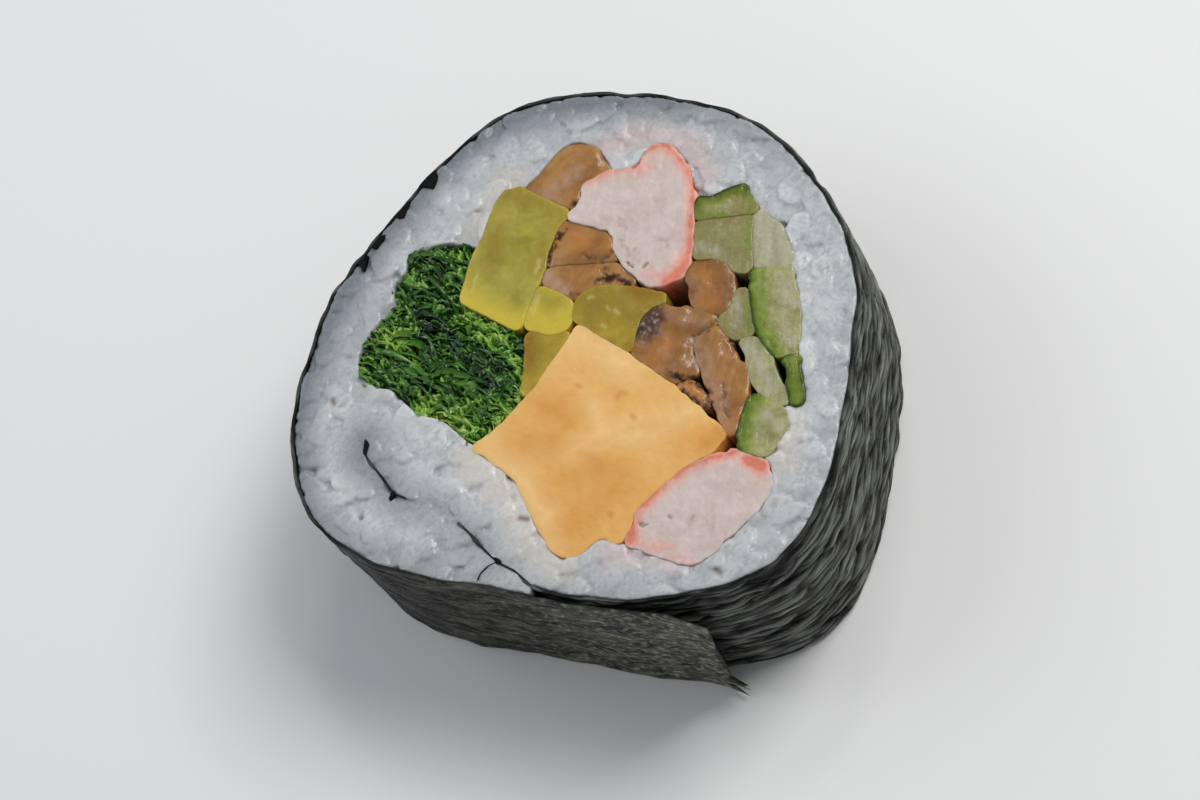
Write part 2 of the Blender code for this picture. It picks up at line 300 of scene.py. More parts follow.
def face_mesh(loop, edge, step):
    """Points and triangles of a cut face. The outline's own points come first."""
    points = []
    for share in RING_SHARES if edge else ():
        clearance = edge * share
        ring = swollen(loop, -edge * share)
        points.append(ring[inside(ring, loop) & (distance_to_line(ring, loop) > 0.9 * clearance)])
    comb = honeycomb(loop, step)
    comb = comb[inside(comb, loop)]
    points.append(comb[distance_to_line(comb, loop) > edge + 0.5 * step])
    return triangulated([loop], points, inside_only=True, apart=1e-6)


def rolled_over(distance, edge):
    """How far the face has dropped, at a distance from the outline."""
    if not edge:
        return np.zeros_like(distance)
    short = np.clip(edge - distance, 0, edge)
    return edge - np.sqrt(edge ** 2 - short ** 2)


def in_scene(name, data):
    """A new object for a mesh, a light or a camera."""
    thing = bpy.data.objects.new(name, data)
    bpy.context.scene.collection.objects.link(thing)
    return thing


def new_piece(name, points, faces, material):
    mesh = bpy.data.meshes.new(name)
    mesh.from_pydata(points, [], faces)
    mesh.validate()
    mesh.shade_smooth()
    mesh.materials.append(material)
    return in_scene(name, mesh)


def run_through(name, loop, material, front, rear=0.0, edge=0.4, step=0.3, relief=None, levels=8):
    """A solid from the rear cut face to the front one, with both faces finished."""
    flat, faces = face_mesh(loop, edge, step)
    rim = distance_to_line(flat, flat[:len(loop)])
    drop = rolled_over(rim, edge)
    lift = relief(flat, rim) if relief else np.zeros(len(flat))
    count, around = len(flat), len(loop)
    steps = np.linspace(front - edge, rear + edge, levels + 2)[1:-1]
    walls_at = [np.full(around, z) for z in steps]
    heights = [front - drop + lift, rear + drop - lift * REAR_RELIEF, *walls_at]
    flats = [flat, flat, *(flat[:around] for _ in steps)]
    starts = [0, *(2 * count + i * around for i in range(levels)), count]
    walls = []
    for upper, lower in zip(starts, starts[1:]):
        for i in range(around):
            j = (i + 1) % around
            walls.append((upper + i, lower + i, lower + j, upper + j))
    all_faces = [*faces.tolist(), *(faces[:, ::-1] + count).tolist(), *walls]
    flat_of[name] = np.vstack(flats)
    points = in_frame(flat_of[name], np.clip(np.concatenate(heights), 0, None))
    return new_piece(name, points, all_faces, material)


def read_out(items, key, width=1):
    """The number or vector that each item of a mesh holds, as one array."""
    values = np.empty(width * len(items))
    items.foreach_get(key, values)
    return values.reshape(-1, width) if width > 1 else values


def flat_places(piece):
    """Each point's place on the cut face, in millimetres about the roll's axis."""
    return read_out(piece.data.vertices, "co", 3)[:, :2] / MM - ROLL_AXIS


def add_masks(piece, **masks):
    """Stores numbers from 0 to 1 at each point, for the material to read."""
    for name, values in masks.items():
        layer = piece.data.attributes.get(name) or piece.data.attributes.new(name, "FLOAT", "POINT")
        kept = np.broadcast_to(np.clip(values, 0, 1), len(piece.data.vertices))
        layer.data.foreach_set("value", kept.astype(np.float32))


def strokes_mask(flat, strokes, width, jagged=0.0):
    """1 on the strokes, falling to 0 at a distance from them. Jagged bends them by so many mm."""
    bent = flat
    if jagged:
        bent = flat + jagged * np.column_stack([lumps(flat, BEND_SIZE, 3, seed=seed) for seed in (31, 32)])
    reach = [distance_to_line(bent, np.array(stroke), closed=False) for stroke in strokes]
    return np.clip(1 - np.min(reach, axis=0) / width, 0, 1)


# %% [markdown]
# ## A short way to write nodes
#
# Shader trees and geometry trees are built in the same way: add a node, set its properties, and
# give each input a value or another node's output. One helper does all three, and the nodes that
# come up again and again get short names of their own. A Mix node has several sockets of the same
# name, one for each kind of value, so its colours are found by their numbers.

# %% Node helpers
FILM_ROUGHNESS = 0.08
MIX_FROM, MIX_TO, MIX_RESULT = 6, 7, 2


def put(tree, kind, inputs=None, **settings):
    """Adds a node, sets its properties, then fills or links its inputs."""
    node = tree.nodes.new(kind)
    for key, value in settings.items():
        setattr(node, key, value)
    for key, value in (inputs or {}).items():
        if isinstance(value, bpy.types.NodeSocket):
            tree.links.new(value, node.inputs[key])
        else:
            node.inputs[key].default_value = value
    return node


def maths(tree, operation, *values):
    return put(tree, "ShaderNodeMath", dict(enumerate(values)), operation=operation).outputs[0]


def vector_maths(tree, operation, *values, output=0):
    return put(tree, "ShaderNodeVectorMath", dict(enumerate(values)), operation=operation).outputs[output]


def scaled(tree, vector, amount):
    return put(tree, "ShaderNodeVectorMath", {0: vector, "Scale": amount}, operation="SCALE").outputs[0]


def combined(tree, x, y, z=0.0):
    return put(tree, "ShaderNodeCombineXYZ", {"X": x, "Y": y, "Z": z}).outputs[0]


def noise_texture(tree, place, scale, detail, output="Fac"):
    values = {"Vector": place, "Scale": scale, "Detail": detail}
    return put(tree, "ShaderNodeTexNoise", values).outputs[output]


def map_range(tree, value, low, high, to_low=0.0, to_high=1.0, **settings):
    ends = {"Value": value, "From Min": low, "From Max": high, "To Min": to_low, "To Max": to_high}
    return put(tree, "ShaderNodeMapRange", ends, **settings).outputs[0]


# %% Colour helpers


def new_finish(name, roughness, soft=0.0, soft_radius=(1.0, 0.6, 0.4), soft_depth=1.0, ior=1.38, film=0.0):
    """A moist food material. Soft is how much light goes in and comes out elsewhere."""
    material = bpy.data.materials.new(name)
    material.use_nodes = True
    shader = material.node_tree.nodes["Principled BSDF"]
    values = {"Roughness": roughness, "IOR": ior, "Subsurface Weight": soft, "Subsurface Radius": soft_radius,
              "Subsurface Scale": soft_depth * MM, "Coat Weight": film, "Coat Roughness": FILM_ROUGHNESS}
    for title, value in values.items():
        shader.inputs[title].default_value = value
    return material, material.node_tree, shader


def colour_ramp(tree, factor, stops):
    """A Color Ramp through (position, colour) stops."""
    ramp = put(tree, "ShaderNodeValToRGB", {"Fac": factor})
    elements = ramp.color_ramp.elements
    while len(elements) < len(stops):
        elements.new(0.5)
    for element, (position, colour) in zip(elements, stops):
        element.position = position
        element.color = (*colour, 1.0)
    return ramp.outputs["Color"]


def read_mask(tree, name):
    return put(tree, "ShaderNodeAttribute", attribute_name=name).outputs["Fac"]


def mixed(tree, share, colour, other, **settings):
    """A colour that turns into another as the share goes from 0 to 1."""
    ends = {"Factor": share, MIX_FROM: colour, MIX_TO: other}
    return put(tree, "ShaderNodeMix", ends, data_type="RGBA", **settings).outputs[MIX_RESULT]


def tinted(tree, colour, **tints):
    """A colour that turns into each tint, one after the other, where the mask of that name is 1."""
    for mask, tint in tints.items():
        colour = mixed(tree, read_mask(tree, mask), colour, (*tint, 1))
    return colour


# %% [markdown]
# ## Effects that several foods share
#
# Every filling is wet and cloudy. "Cloudy flesh" mixes two tones of a colour with soft noise, and
# "wet film" breaks up the gloss and gives the fine unevenness that makes a cut face glint. "Strands"
# draws noise out into fibres, for crab, mushroom and cucumber. All three are node groups, built once
# and placed in each material with its own values. They read Object coordinates, so the pattern stays
# on the food.

# %% Shared shader groups
COLOUR, NUMBER = "NodeSocketColor", "NodeSocketFloat"
WHITE, BLACK = (1, 1, 1, 1), (0, 0, 0, 1)
PER_METRE = 1 / MM
STRAND_STRETCH = 0.16


def new_group(name, inputs, outputs):
    """A shader group with named inputs and outputs; returns it and both ends of its inside."""
    group = bpy.data.node_groups.new(name, "ShaderNodeTree")
    for title, kind, value in inputs:
        socket = group.interface.new_socket(title, in_out="INPUT", socket_type=kind)
        socket.default_value = value
    for title, kind in outputs:
        group.interface.new_socket(title, in_out="OUTPUT", socket_type=kind)
    return group, group.nodes.new("NodeGroupInput").outputs, group.nodes.new("NodeGroupOutput").inputs


cloudy_flesh, given, result = new_group(
    "cloudy flesh",
    [("Light", COLOUR, WHITE), ("Dark", COLOUR, BLACK), ("Patches per mm", NUMBER, 0.4),
     ("Fleck per mm", NUMBER, 3.0)],
    [("Color", COLOUR)],
)
place = put(cloudy_flesh, "ShaderNodeTexCoord").outputs["Object"]
wide = maths(cloudy_flesh, "MULTIPLY", given["Patches per mm"], PER_METRE)
fine = maths(cloudy_flesh, "MULTIPLY", given["Fleck per mm"], PER_METRE)
patches = noise_texture(cloudy_flesh, place, wide, 4.0)
flecks = noise_texture(cloudy_flesh, place, fine, 2.0)
both = maths(cloudy_flesh, "MULTIPLY_ADD", flecks, 0.35, patches)
share = map_range(cloudy_flesh, both, 0.48, 0.88)
cloudy_flesh.links.new(mixed(cloudy_flesh, share, given["Dark"], given["Light"]), result["Color"])

wet_film, given, result = new_group(
    "wet film",
    [("Beads per mm", NUMBER, 2.0), ("Smooth", NUMBER, 0.2), ("Dull", NUMBER, 0.5)],
    [("Roughness", NUMBER), ("Height", NUMBER)],
)
place = put(wet_film, "ShaderNodeTexCoord").outputs["Object"]
beads = maths(wet_film, "MULTIPLY", given["Beads per mm"], PER_METRE)
film = noise_texture(wet_film, place, beads, 3.0)
gloss = map_range(wet_film, film, 0.35, 0.65, given["Smooth"], given["Dull"])
wet_film.links.new(gloss, result["Roughness"])
wet_film.links.new(film, result["Height"])

strands, given, result = new_group(
    "strands",
    [("Color", COLOUR, WHITE), ("Across per mm", NUMBER, 2.0), ("Turn", NUMBER, 0.0),
     ("Strength", NUMBER, 0.3)],
    [("Color", COLOUR), ("Height", NUMBER)],
)
place = put(strands, "ShaderNodeTexCoord").outputs["Object"]
turned = put(strands, "ShaderNodeVectorRotate", {"Vector": place, "Angle": given["Turn"]},
             rotation_type="Z_AXIS")
stretch = (PER_METRE, STRAND_STRETCH * PER_METRE, PER_METRE)
drawn_out = vector_maths(strands, "MULTIPLY", turned.outputs[0], stretch)
threads = noise_texture(strands, drawn_out, given["Across per mm"], 3.0)
dark_share = map_range(strands, threads, 0.62, 0.36, 0.0, given["Strength"])
strands.links.new(mixed(strands, dark_share, given["Color"], BLACK), result["Color"])
strands.links.new(threads, result["Height"])

# %% Placing the groups


def place_group(tree, group, values):
    """A shared group with this material's own values; returns its outputs."""
    inputs = {title: (*value, 1.0) if isinstance(value, tuple) else value for title, value in values.items()}
    return put(tree, "ShaderNodeGroup", inputs, node_tree=group).outputs


def cloudy(tree, light, dark, patches, flecks):
    """Flesh between two tones, with so many patches and flecks per millimetre."""
    return place_group(tree, cloudy_flesh, {"Light": light, "Dark": dark, "Patches per mm": patches,
                                            "Fleck per mm": flecks})["Color"]


def drawn_in_strands(tree, colour, across, turn, strength):
    """Fibres over a colour; returns their colour and their height."""
    fibres = place_group(tree, strands, {"Color": colour, "Across per mm": across, "Turn": turn,
                                         "Strength": strength})
    return fibres["Color"], fibres["Height"]


def add_wet_film(tree, shader, beads, smooth, dull, bump_depth, more_height=None):
    """Gloss that varies, and a fine bump that is bump_depth millimetres high."""
    film = place_group(tree, wet_film, {"Beads per mm": beads, "Smooth": smooth, "Dull": dull})
    height = maths(tree, "ADD", film["Height"], more_height) if more_height else film["Height"]
    bump = put(tree, "ShaderNodeBump", {"Height": height, "Distance": bump_depth * MM})
    tree.links.new(film["Roughness"], shader.inputs["Roughness"])
    tree.links.new(bump.outputs["Normal"], shader.inputs["Normal"])


def finish_piece(piece, slot, *nodes):
    """The piece stands for its nodes and moves with the slice. The slot is not used."""
    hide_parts(*nodes)
    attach(piece, "root")


# %% [markdown]
# ## The egg
#
# Rolled egg is dense and smooth, a warm yellow that turns paler where a layer ends. Its relief is
# hardly there: a slow swell and fine pores. Where it is paler, deeper or amber is drawn as a few
# strokes on the cut face; along its top and left edges the paler strokes are also painted highlight.
# The distance from them is stored on the mesh as a mask, a number at each point, and the material
# mixes its colours by it. All the fillings are coloured in this way.

# %% The egg
EGG_PALE = [[(-1.4, 0.6), (0.2, 2.2), (3.4, -0.6), (5.4, -2.2)], [(-8.5, -7.9), (-5.2, -11.5), (-2.6, -15.5)],
            [(0.2, -9.6), (3.0, -8.6), (6.0, -8.3), (11.5, -6.8)], [(1.6, -5.6), (2.6, -8.6)],
            [(-3.0, -16.0), (-1.6, -18.6)]]
EGG_DEEP = [[(-1.6, -13.0), (1.5, -11.6), (5.0, -12.6), (2.5, -15.0), (0.0, -17.5)],
            [(-2.8, -4.6), (-0.6, -6.2)], [(-5.5, -8.6), (-2.0, -8.4)]]
EGG_PORES = [[(0.1, -3.3), (0.4, -3.4)], [(4.0, -4.9), (4.4, -4.5), (4.8, -4.6)], [(5.4, -6.9), (5.6, -7.1)],
             [(3.5, -16.2), (3.6, -16.4)]]
EGG_AMBER = [[(12.4, -10.3), (13.9, -9.5)]]
EGG_SEAMS = [[(-4.3, -4.4), (-2.0, -5.6), (-0.2, -7.0)], [(0.6, -9.9), (2.4, -11.0)],
             [(2.0, -9.2), (5.0, -8.2), (8.6, -7.8)]]
egg_finish, tree, shader = new_finish("egg", 0.42, soft=0.3, soft_radius=(1.0, 0.5, 0.2), soft_depth=1.2)
egg_colour = cloudy(tree, (0.80, 0.475, 0.165), (0.70, 0.36, 0.088), patches=0.12, flecks=1.0)
layered = tinted(tree, egg_colour, pale=(0.88, 0.60, 0.28), deep=(0.62, 0.28, 0.055))
tree.links.new(layered, shader.inputs["Base Color"])
add_wet_film(tree, shader, 2.2, 0.28, 0.50, 0.05)


def egg_relief(flat, rim):
    pores = strokes_mask(flat, EGG_PORES, 0.35)
    return 0.10 * lumps(flat, 6.0, 2, seed=1) + 0.04 * lumps(flat, 0.8, 2, seed=2) - 0.12 * pores


egg = run_through("egg", touching("egg_block", ragged=0.10), egg_finish, THICKNESS - 0.05, edge=0.1,
                  step=0.25, relief=egg_relief)
egg_flat = flat_of["egg"]
cloud = 1 + 0.5 * lumps(egg_flat, 1.6, 3, seed=17)
deep = 0.5 * strokes_mask(egg_flat, EGG_DEEP, 2.8) * cloud + 0.25 * strokes_mask(egg_flat, EGG_SEAMS, 0.7)
amber = 0.8 * strokes_mask(egg_flat, EGG_AMBER, 1.5, jagged=0.4)
# pale: paler where layers end, and painted highlight along the top and left edges
add_masks(egg, pale=0.55 * strokes_mask(egg_flat, EGG_PALE, 2.4) * cloud,
          deep=deep + 0.7 * strokes_mask(egg_flat, EGG_PORES, 0.45) + amber)
finish_piece(egg, "egg", "egg_block")
print("egg:", len(egg.data.polygons), "faces")

# %% [markdown]
# ## The pickled radish
#
# The strips are crisp and glassy, with sharp cut corners. The yellow is deeper in the thick
# middle. Painted light makes it brighter along the lower edges and round the rim, for the light that
# comes through there. Brown broth has got in beside the mushrooms, and the few pale specks are
# painted glints.

# %% The pickled radish
RADISH_BRIGHT = [
    [(-11.0, 6.8), (-5.6, 3.4)],
    [(-4.6, 3.8), (-2.0, 2.4), (-0.9, 3.4)],
    [(-4.9, -3.4), (-2.4, -1.0), (-0.8, 1.6)],
    [(3.0, 1.9), (5.0, 0.4)],
]
# Painted glints: pale specks where the wet cut face catches the light
RADISH_SPECKS = [[(3.0, 4.3), (3.2, 4.0)], [(3.8, 3.9), (4.2, 3.5)], [(2.5, 2.5), (2.8, 2.3)],
                 [(1.2, 5.4), (1.6, 5.3)], [(-3.6, 9.8), (-4.0, 8.6)], [(-4.2, 4.4), (-3.6, 6.2)],
                 [(-10.2, 7.4), (-9.7, 9.2)]]
RADISH_BROWN = [[(-4.6, 1.6), (-4.4, -1.0)], [(5.4, 5.9), (7.6, 4.9)],
                [(-1.6, 14.0), (-4.0, 16.4), (-6.6, 16.8)], [(-7.6, 14.0), (-8.6, 10.4)],
                [(-2.2, 12.2), (-3.4, 9.4)]]
radish_finish, tree, shader = new_finish("radish", 0.25, soft=0.45, soft_radius=(1.0, 0.8, 0.15),
                                         soft_depth=1.5, film=0.2)
radish_colour = cloudy(tree, (0.43, 0.37, 0.070), (0.27, 0.235, 0.025), patches=0.3, flecks=1.6)
pickled = tinted(tree, radish_colour, bright=(0.58, 0.46, 0.05), thick=(0.27, 0.155, 0.010),
                 speck=(0.62, 0.54, 0.19))
tree.links.new(pickled, shader.inputs["Base Color"])
add_wet_film(tree, shader, 1.1, 0.15, 0.40, 0.12)


def gentle_swell(flat, rim):
    return 0.08 * lumps(flat, 4.0, 2, seed=3)


for node, proud, thick, extra_bright in (
        ("radish_wide", 0.0, 0.0, 0.0), ("radish_small", -0.1, 0.05, 0.3),
        ("radish_middle", -0.05, 0.6, 0.0), ("radish_sliver", -0.15, 0.55, 0.0)):
    radish_loop = touching(node, ragged=0.05)
    strip = run_through(node + "_strip", radish_loop, radish_finish, THICKNESS + proud, edge=0.08, step=0.2,
                        relief=gentle_swell)
    strip_flat = flat_of[strip.name]
    # Painted light: bright lifts the lower edges, the rim and the whole small strip, as light coming through
    at_edge = np.clip(1 - distance_to_line(strip_flat, radish_loop) / 0.6, 0, 1)
    cloud = lumps(strip_flat, 1.5, 3, seed=29)
    bright = strokes_mask(strip_flat, RADISH_BRIGHT, 2.4) + extra_bright
    brown = 0.45 * strokes_mask(strip_flat, RADISH_BROWN, 1.6)
    add_masks(strip, bright=bright + 0.25 * at_edge + 0.2 * cloud, thick=thick + brown + 0.5 * thick * cloud,
              speck=0.6 * strokes_mask(strip_flat, RADISH_SPECKS, 0.26, jagged=0.2))
    finish_piece(strip, "radish", node)
print("radish: 4 strips, the last of", len(strip.data.polygons), "faces")

# %% [markdown]
# ## The crab sticks
#
# Pressed fish is white, with a red skin on one side that bleeds into it. The skin is a mask: strokes
# drawn on the cut face, fading inwards. Small nicks open where the knife pulled the strands apart,
# and these are really cut into the face; their dark colour is painted shade. The soft grey shadows
# and pink smudges between them are only colour, and noise bends and breaks them, so that they
# don't look drawn.

# %% The crab sticks
CRAB_SKIN = [
    [(0.4, 17.6), (2.4, 18.1), (5.6, 18.6), (6.6, 20.2), (8.6, 20.2), (10.5, 17.8), (11.2, 15.9),
     (10.9, 9.2), (10.3, 7.2), (8.6, 5.9)],
    [(5.3, -18.6), (6.0, -16.2), (8.0, -14.4), (10.2, -12.6), (12.6, -11.7), (15.2, -11.3)],
    [(16.0, -12.0), (17.6, -12.9)],
]
CRAB_STAINS = [[(5.4, -18.8), (6.6, -19.6)], [(16.6, -12.8), (17.4, -14.0)], [(8.8, 6.0), (9.6, 8.0)]]
CRAB_NICKS = [
    [(5.0, 8.5), (5.4, 8.1)],
    [(6.4, 7.8), (6.8, 8.1)],
    [(5.5, 18.2), (5.8, 18.9)],
    [(9.0, -16.9), (9.3, -17.0)],
    [(6.3, -17.2), (6.9, -17.5)],
]
CRAB_SHADOWS = [[(8.2, 10.5), (8.8, 10.2)], [(5.4, 9.7), (5.9, 9.0)], [(10.7, -18.0), (11.1, -17.2)],
                [(4.4, 10.8), (5.3, 9.2)], [(12.6, -17.6), (12.9, -18.2)], [(3.8, 13.0), (4.4, 12.4)]]
CRAB_SMUDGES = [[(6.8, -19.6), (8.2, -19.8), (9.5, -20.4)], [(10.5, -21.4), (10.9, -21.5)],
                [(5.6, 17.6), (7.0, 18.4)], [(7.0, 7.0), (8.2, 6.6)]]
crab_finish, tree, shader = new_finish("crab", 0.4, soft=0.5, soft_radius=(1.0, 0.5, 0.4), soft_depth=1.5)
skin_colour = colour_ramp(tree, read_mask(tree, "skin"), [
    (0.0, (0.655, 0.560, 0.525)), (0.35, (0.70, 0.53, 0.48)), (0.75, (0.78, 0.39, 0.31)),
    (1.0, (0.74, 0.24, 0.16))])
flesh = cloudy(tree, (1.0, 1.0, 1.0), (0.91, 0.87, 0.85), patches=0.4, flecks=1.4)
crab_mix = mixed(tree, 1.0, skin_colour, flesh, blend_type="MULTIPLY")
stranded, strand_height = drawn_in_strands(tree, crab_mix, 1.6, 0.15, 0.07)
stained = tinted(tree, stranded, smudge=(0.74, 0.33, 0.30), shadow=(0.36, 0.30, 0.24),
                 nick=(0.17, 0.10, 0.06))
tree.links.new(stained, shader.inputs["Base Color"])
add_wet_film(tree, shader, 2.0, 0.20, 0.42, 0.06, strand_height)


def crab_relief(flat, rim):
    nicks = strokes_mask(flat, CRAB_NICKS, 0.25, jagged=0.3)
    return 0.12 * lumps(flat, 2.5, 3, seed=4) + 0.03 * lumps(flat, 0.6, 2, seed=5) - 0.2 * nicks


for node, proud in (("crab_stick_upper", 0.1), ("crab_stick_lower", 0.0)):
    stick = run_through(node + "_cut", touching(node, ragged=0.22), crab_finish, THICKNESS + proud,
                        edge=0.12, step=0.16, relief=crab_relief)
    stick_flat = flat_of[stick.name]
    broken = 1 + lumps(stick_flat, 0.5, 2, seed=26)
    ragged = 0.25 * lumps(stick_flat, 0.8, 3, seed=12)
    skin = strokes_mask(stick_flat, CRAB_SKIN, 1.4) ** 1.2
    add_masks(
        stick,
        # Painted shade: the nicks are coloured dark as well as cut in
        nick=0.8 * strokes_mask(stick_flat, CRAB_NICKS, 0.24, jagged=0.3) * broken,
        shadow=0.55 * strokes_mask(stick_flat, CRAB_SHADOWS, 0.5, jagged=0.6) * broken,
        smudge=0.6 * strokes_mask(stick_flat, CRAB_SMUDGES, 0.9, jagged=0.8) * broken,
        skin=skin * (1 + ragged) + 0.35 * strokes_mask(stick_flat, CRAB_STAINS, 1.6),
    )
    finish_piece(stick, "crab", node)
print("crab: 2 sticks, the last of", len(stick.data.polygons), "faces")

# %% [markdown]
# ## Mushroom and gourd
#
# Simmered mushroom is brown, glossy and half clear. The slices bulge at the cut and fold over each
# other. Each feature has a mask of its own: dark gills, creases darkened with painted shade, thin
# glassy places, warm patches, and on one cap a purplish skin whose pale flecks are painted glints.
# Gills are dry, so the wet coat goes away there.

# %% Mushroom and gourd
GILL_STROKES = [
    [(2.6, 8.1), (3.4, 7.4), (4.2, 6.9), (5.5, 6.2)],
    [(2.2, 7.2), (3.2, 7.1)],
    [(5.9, 1.6), (6.3, 2.9), (7.2, 3.9), (8.6, 4.3)],
    [(9.2, -3.2), (11.2, -4.0), (12.4, -5.2), (13.0, -7.2)],
    [(9.9, -5.1), (11.5, -6.2), (13.0, -7.3)],
    [(-2.9, 9.4), (-2.3, 11.4), (-1.2, 12.7)],
    [(-1.0, 14.9), (0.1, 15.4)],
    [(14.8, -0.2), (15.5, -1.4), (16.5, -3.2)],
]
CREASE_STROKES = [[(10.9, -0.2), (11.3, 0.4), (12.6, 1.2), (13.4, 2.0)],
                  [(0.9, 9.7), (2.6, 9.2), (3.6, 10.4)], [(-0.6, 6.1), (0.3, 5.6)],
                  [(13.9, -4.6), (14.3, -7.8)]]
SKIN_STROKES = [[(6.2, 1.6), (6.6, 2.8), (7.6, 3.7)], [(7.0, 1.2), (7.6, 2.4)]]
GLASSY_STROKES = [
    [(11.2, 0.1), (11.7, -0.8), (12.2, -2.0)],
    [(9.2, 3.0), (10.6, 2.2), (11.8, 1.4)],
    [(11.4, -2.0), (12.4, -3.4), (12.9, -4.6)],
    [(13.4, -5.0), (13.9, -7.0), (14.4, -8.8)],
    [(-3.2, 9.2), (-3.0, 8.0), (-1.4, 6.4)],
    [(3.2, 16.4), (3.4, 18.4)],
    [(-3.0, 16.6), (-0.2, 18.8)],
    [(14.4, 6.8), (14.5, 3.6)],
]
WARM_PATCHES = [[(7.4, -1.8), (8.4, -0.2)], [(12.4, 6.0), (12.6, 4.2)], [(0.6, 11.4), (-1.0, 12.2)],
                [(14.0, -9.6), (14.2, -8.6)], [(10.4, -4.6), (12.2, -5.8)], [(4.2, 12.0), (3.6, 10.6)]]
brown_finish, tree, shader = new_finish("mushroom", 0.25, soft=0.5, soft_radius=(1.0, 0.5, 0.22),
                                        soft_depth=1.8, film=0.25)
brown = cloudy(tree, (0.455, 0.235, 0.078), (0.295, 0.132, 0.040), patches=0.3, flecks=1.0)
fibrous, fibre_height = drawn_in_strands(tree, brown, 2.2, read_mask(tree, "turn"), 0.14)
simmered = tinted(tree, fibrous, glassy=(0.46, 0.30, 0.21), stewed=(0.21, 0.092, 0.024),
                  warm=(0.47, 0.20, 0.055), skin=(0.085, 0.040, 0.030), fleck=(0.44, 0.34, 0.30),
                  gill=(0.040, 0.015, 0.006))
tree.links.new(simmered, shader.inputs["Base Color"])
shader.inputs["Specular IOR Level"].default_value = 0.3
coat = maths(tree, "MULTIPLY_ADD", read_mask(tree, "gill"), -0.35, 0.38)
tree.links.new(coat, shader.inputs["Coat Weight"])
add_wet_film(tree, shader, 1.0, 0.12, 0.34, 0.08, fibre_height)


def brown_relief(flat, rim):
    folds = 0.14 * lumps(flat, 2.2, 2, seed=6) + 0.025 * lumps(flat, 0.7, 2, seed=27)
    folds -= 0.15 * strokes_mask(flat, GILL_STROKES + CREASE_STROKES, 0.4, jagged=0.4)
    return 0.18 * np.clip(rim / 1.4, 0, 1) ** 0.5 + folds - 0.15


for node, slot, proud, turn, stewed in (
        ("mushroom_top", "mushroom", -0.1, 0.7, 0.0), ("mushroom_fold", "mushroom", 0.0, 0.9, 0.15),
        ("mushroom_gill", "mushroom", -0.1, 0.65, 0.0), ("mushroom_cap_left", "mushroom", 0.1, 0.35, 0.4),
        ("mushroom_cap_right", "mushroom", 0.1, 0.2, 0.2), ("mushroom_shred", "mushroom", 0.0, 0.5, 0.0),
        ("gourd_strip", "gourd", 0.0, 0.0, 0.65)):
    brown_piece = run_through(node + "_cut", touching(node, ragged=0.12), brown_finish, THICKNESS + proud,
                              edge=0.15, step=0.22, relief=brown_relief)
    brown_flat = flat_of[brown_piece.name]
    cloud = 1 + 0.8 * lumps(brown_flat, 0.9, 3, seed=18)
    streaky = 1 + 1.2 * lumps(brown_flat, 0.45, 3, seed=28)
    gills = 1.3 * strokes_mask(brown_flat, GILL_STROKES, 0.4, jagged=0.45)
    # Painted shade: the creases are cut into the face and darkened in colour too
    creases = 0.45 * strokes_mask(brown_flat, CREASE_STROKES, 0.4, jagged=0.4)
    cap = strokes_mask(brown_flat, SKIN_STROKES, 1.3, jagged=0.5)
    add_masks(
        brown_piece,
        gill=np.maximum(gills, creases) * streaky,
        skin=1.5 * cap * (1 + 0.4 * (streaky - 1)),
        # Painted glints: pale flecks on the cap's dark skin
        fleck=2.2 * cap * np.clip(lumps(brown_flat, 0.35, 2, seed=33) - 0.15, 0, 1),
        glassy=0.65 * strokes_mask(brown_flat, GLASSY_STROKES, 1.1) * cloud,
        warm=0.7 * strokes_mask(brown_flat, WARM_PATCHES, 1.8) * cloud,
        turn=turn,
        stewed=stewed * (1 + 0.8 * lumps(brown_flat, 1.6, 2, seed=35)),
    )
    finish_piece(brown_piece, slot, node)
print("mushroom and gourd: 7 pieces, the last of", len(brown_piece.data.polygons), "faces")

# %% [markdown]
# ## The cucumber
#
# Strips of cucumber: pale watery flesh, greener towards the peel, which is a thin dark line on one
# side of some strips. The peel's mask starts from the strip's own outline, wherever that runs close
# to a drawn line, so the peel lies exactly on the edge. Strokes add the greener flesh below it and
# the pale watery core with its seeds.

# %% The cucumber's peel
PEELS = {
    "cucumber_peaked": ([(12.0, 14.3), (12.8, 14.4), (14.2, 15.0), (16.0, 15.3)], 1.9),
    "cucumber_long": ([(16.5, 5.6), (16.7, 4.0), (16.8, 1.2), (18.2, -1.6)], 1.7),
    "cucumber_thin": ([(19.2, -2.5), (20.6, -6.7), (21.5, -7.3), (21.2, -4.0)], 1.6),
    "cucumber_low": ([(16.6, -6.2), (15.5, -8.4), (15.2, -10.5)], 1.8),
}
ON_PEEL = 0.9


def peel_mask(flat, loop, node):
    """1 on the stretch of the outline that still has its peel, falling to 0 inside the flesh."""
    if node not in PEELS:
        return 0.0
    line, peel_depth = PEELS[node]
    edge = loop[distance_to_line(loop, np.array(line), closed=False) < ON_PEEL]
    depth = np.linalg.norm(flat[:, None] - edge, axis=2).min(axis=1) / peel_depth
    return np.clip(1 - depth, 0, 1) * (1 + 0.1 * lumps(flat, 1.2, 2, seed=19))


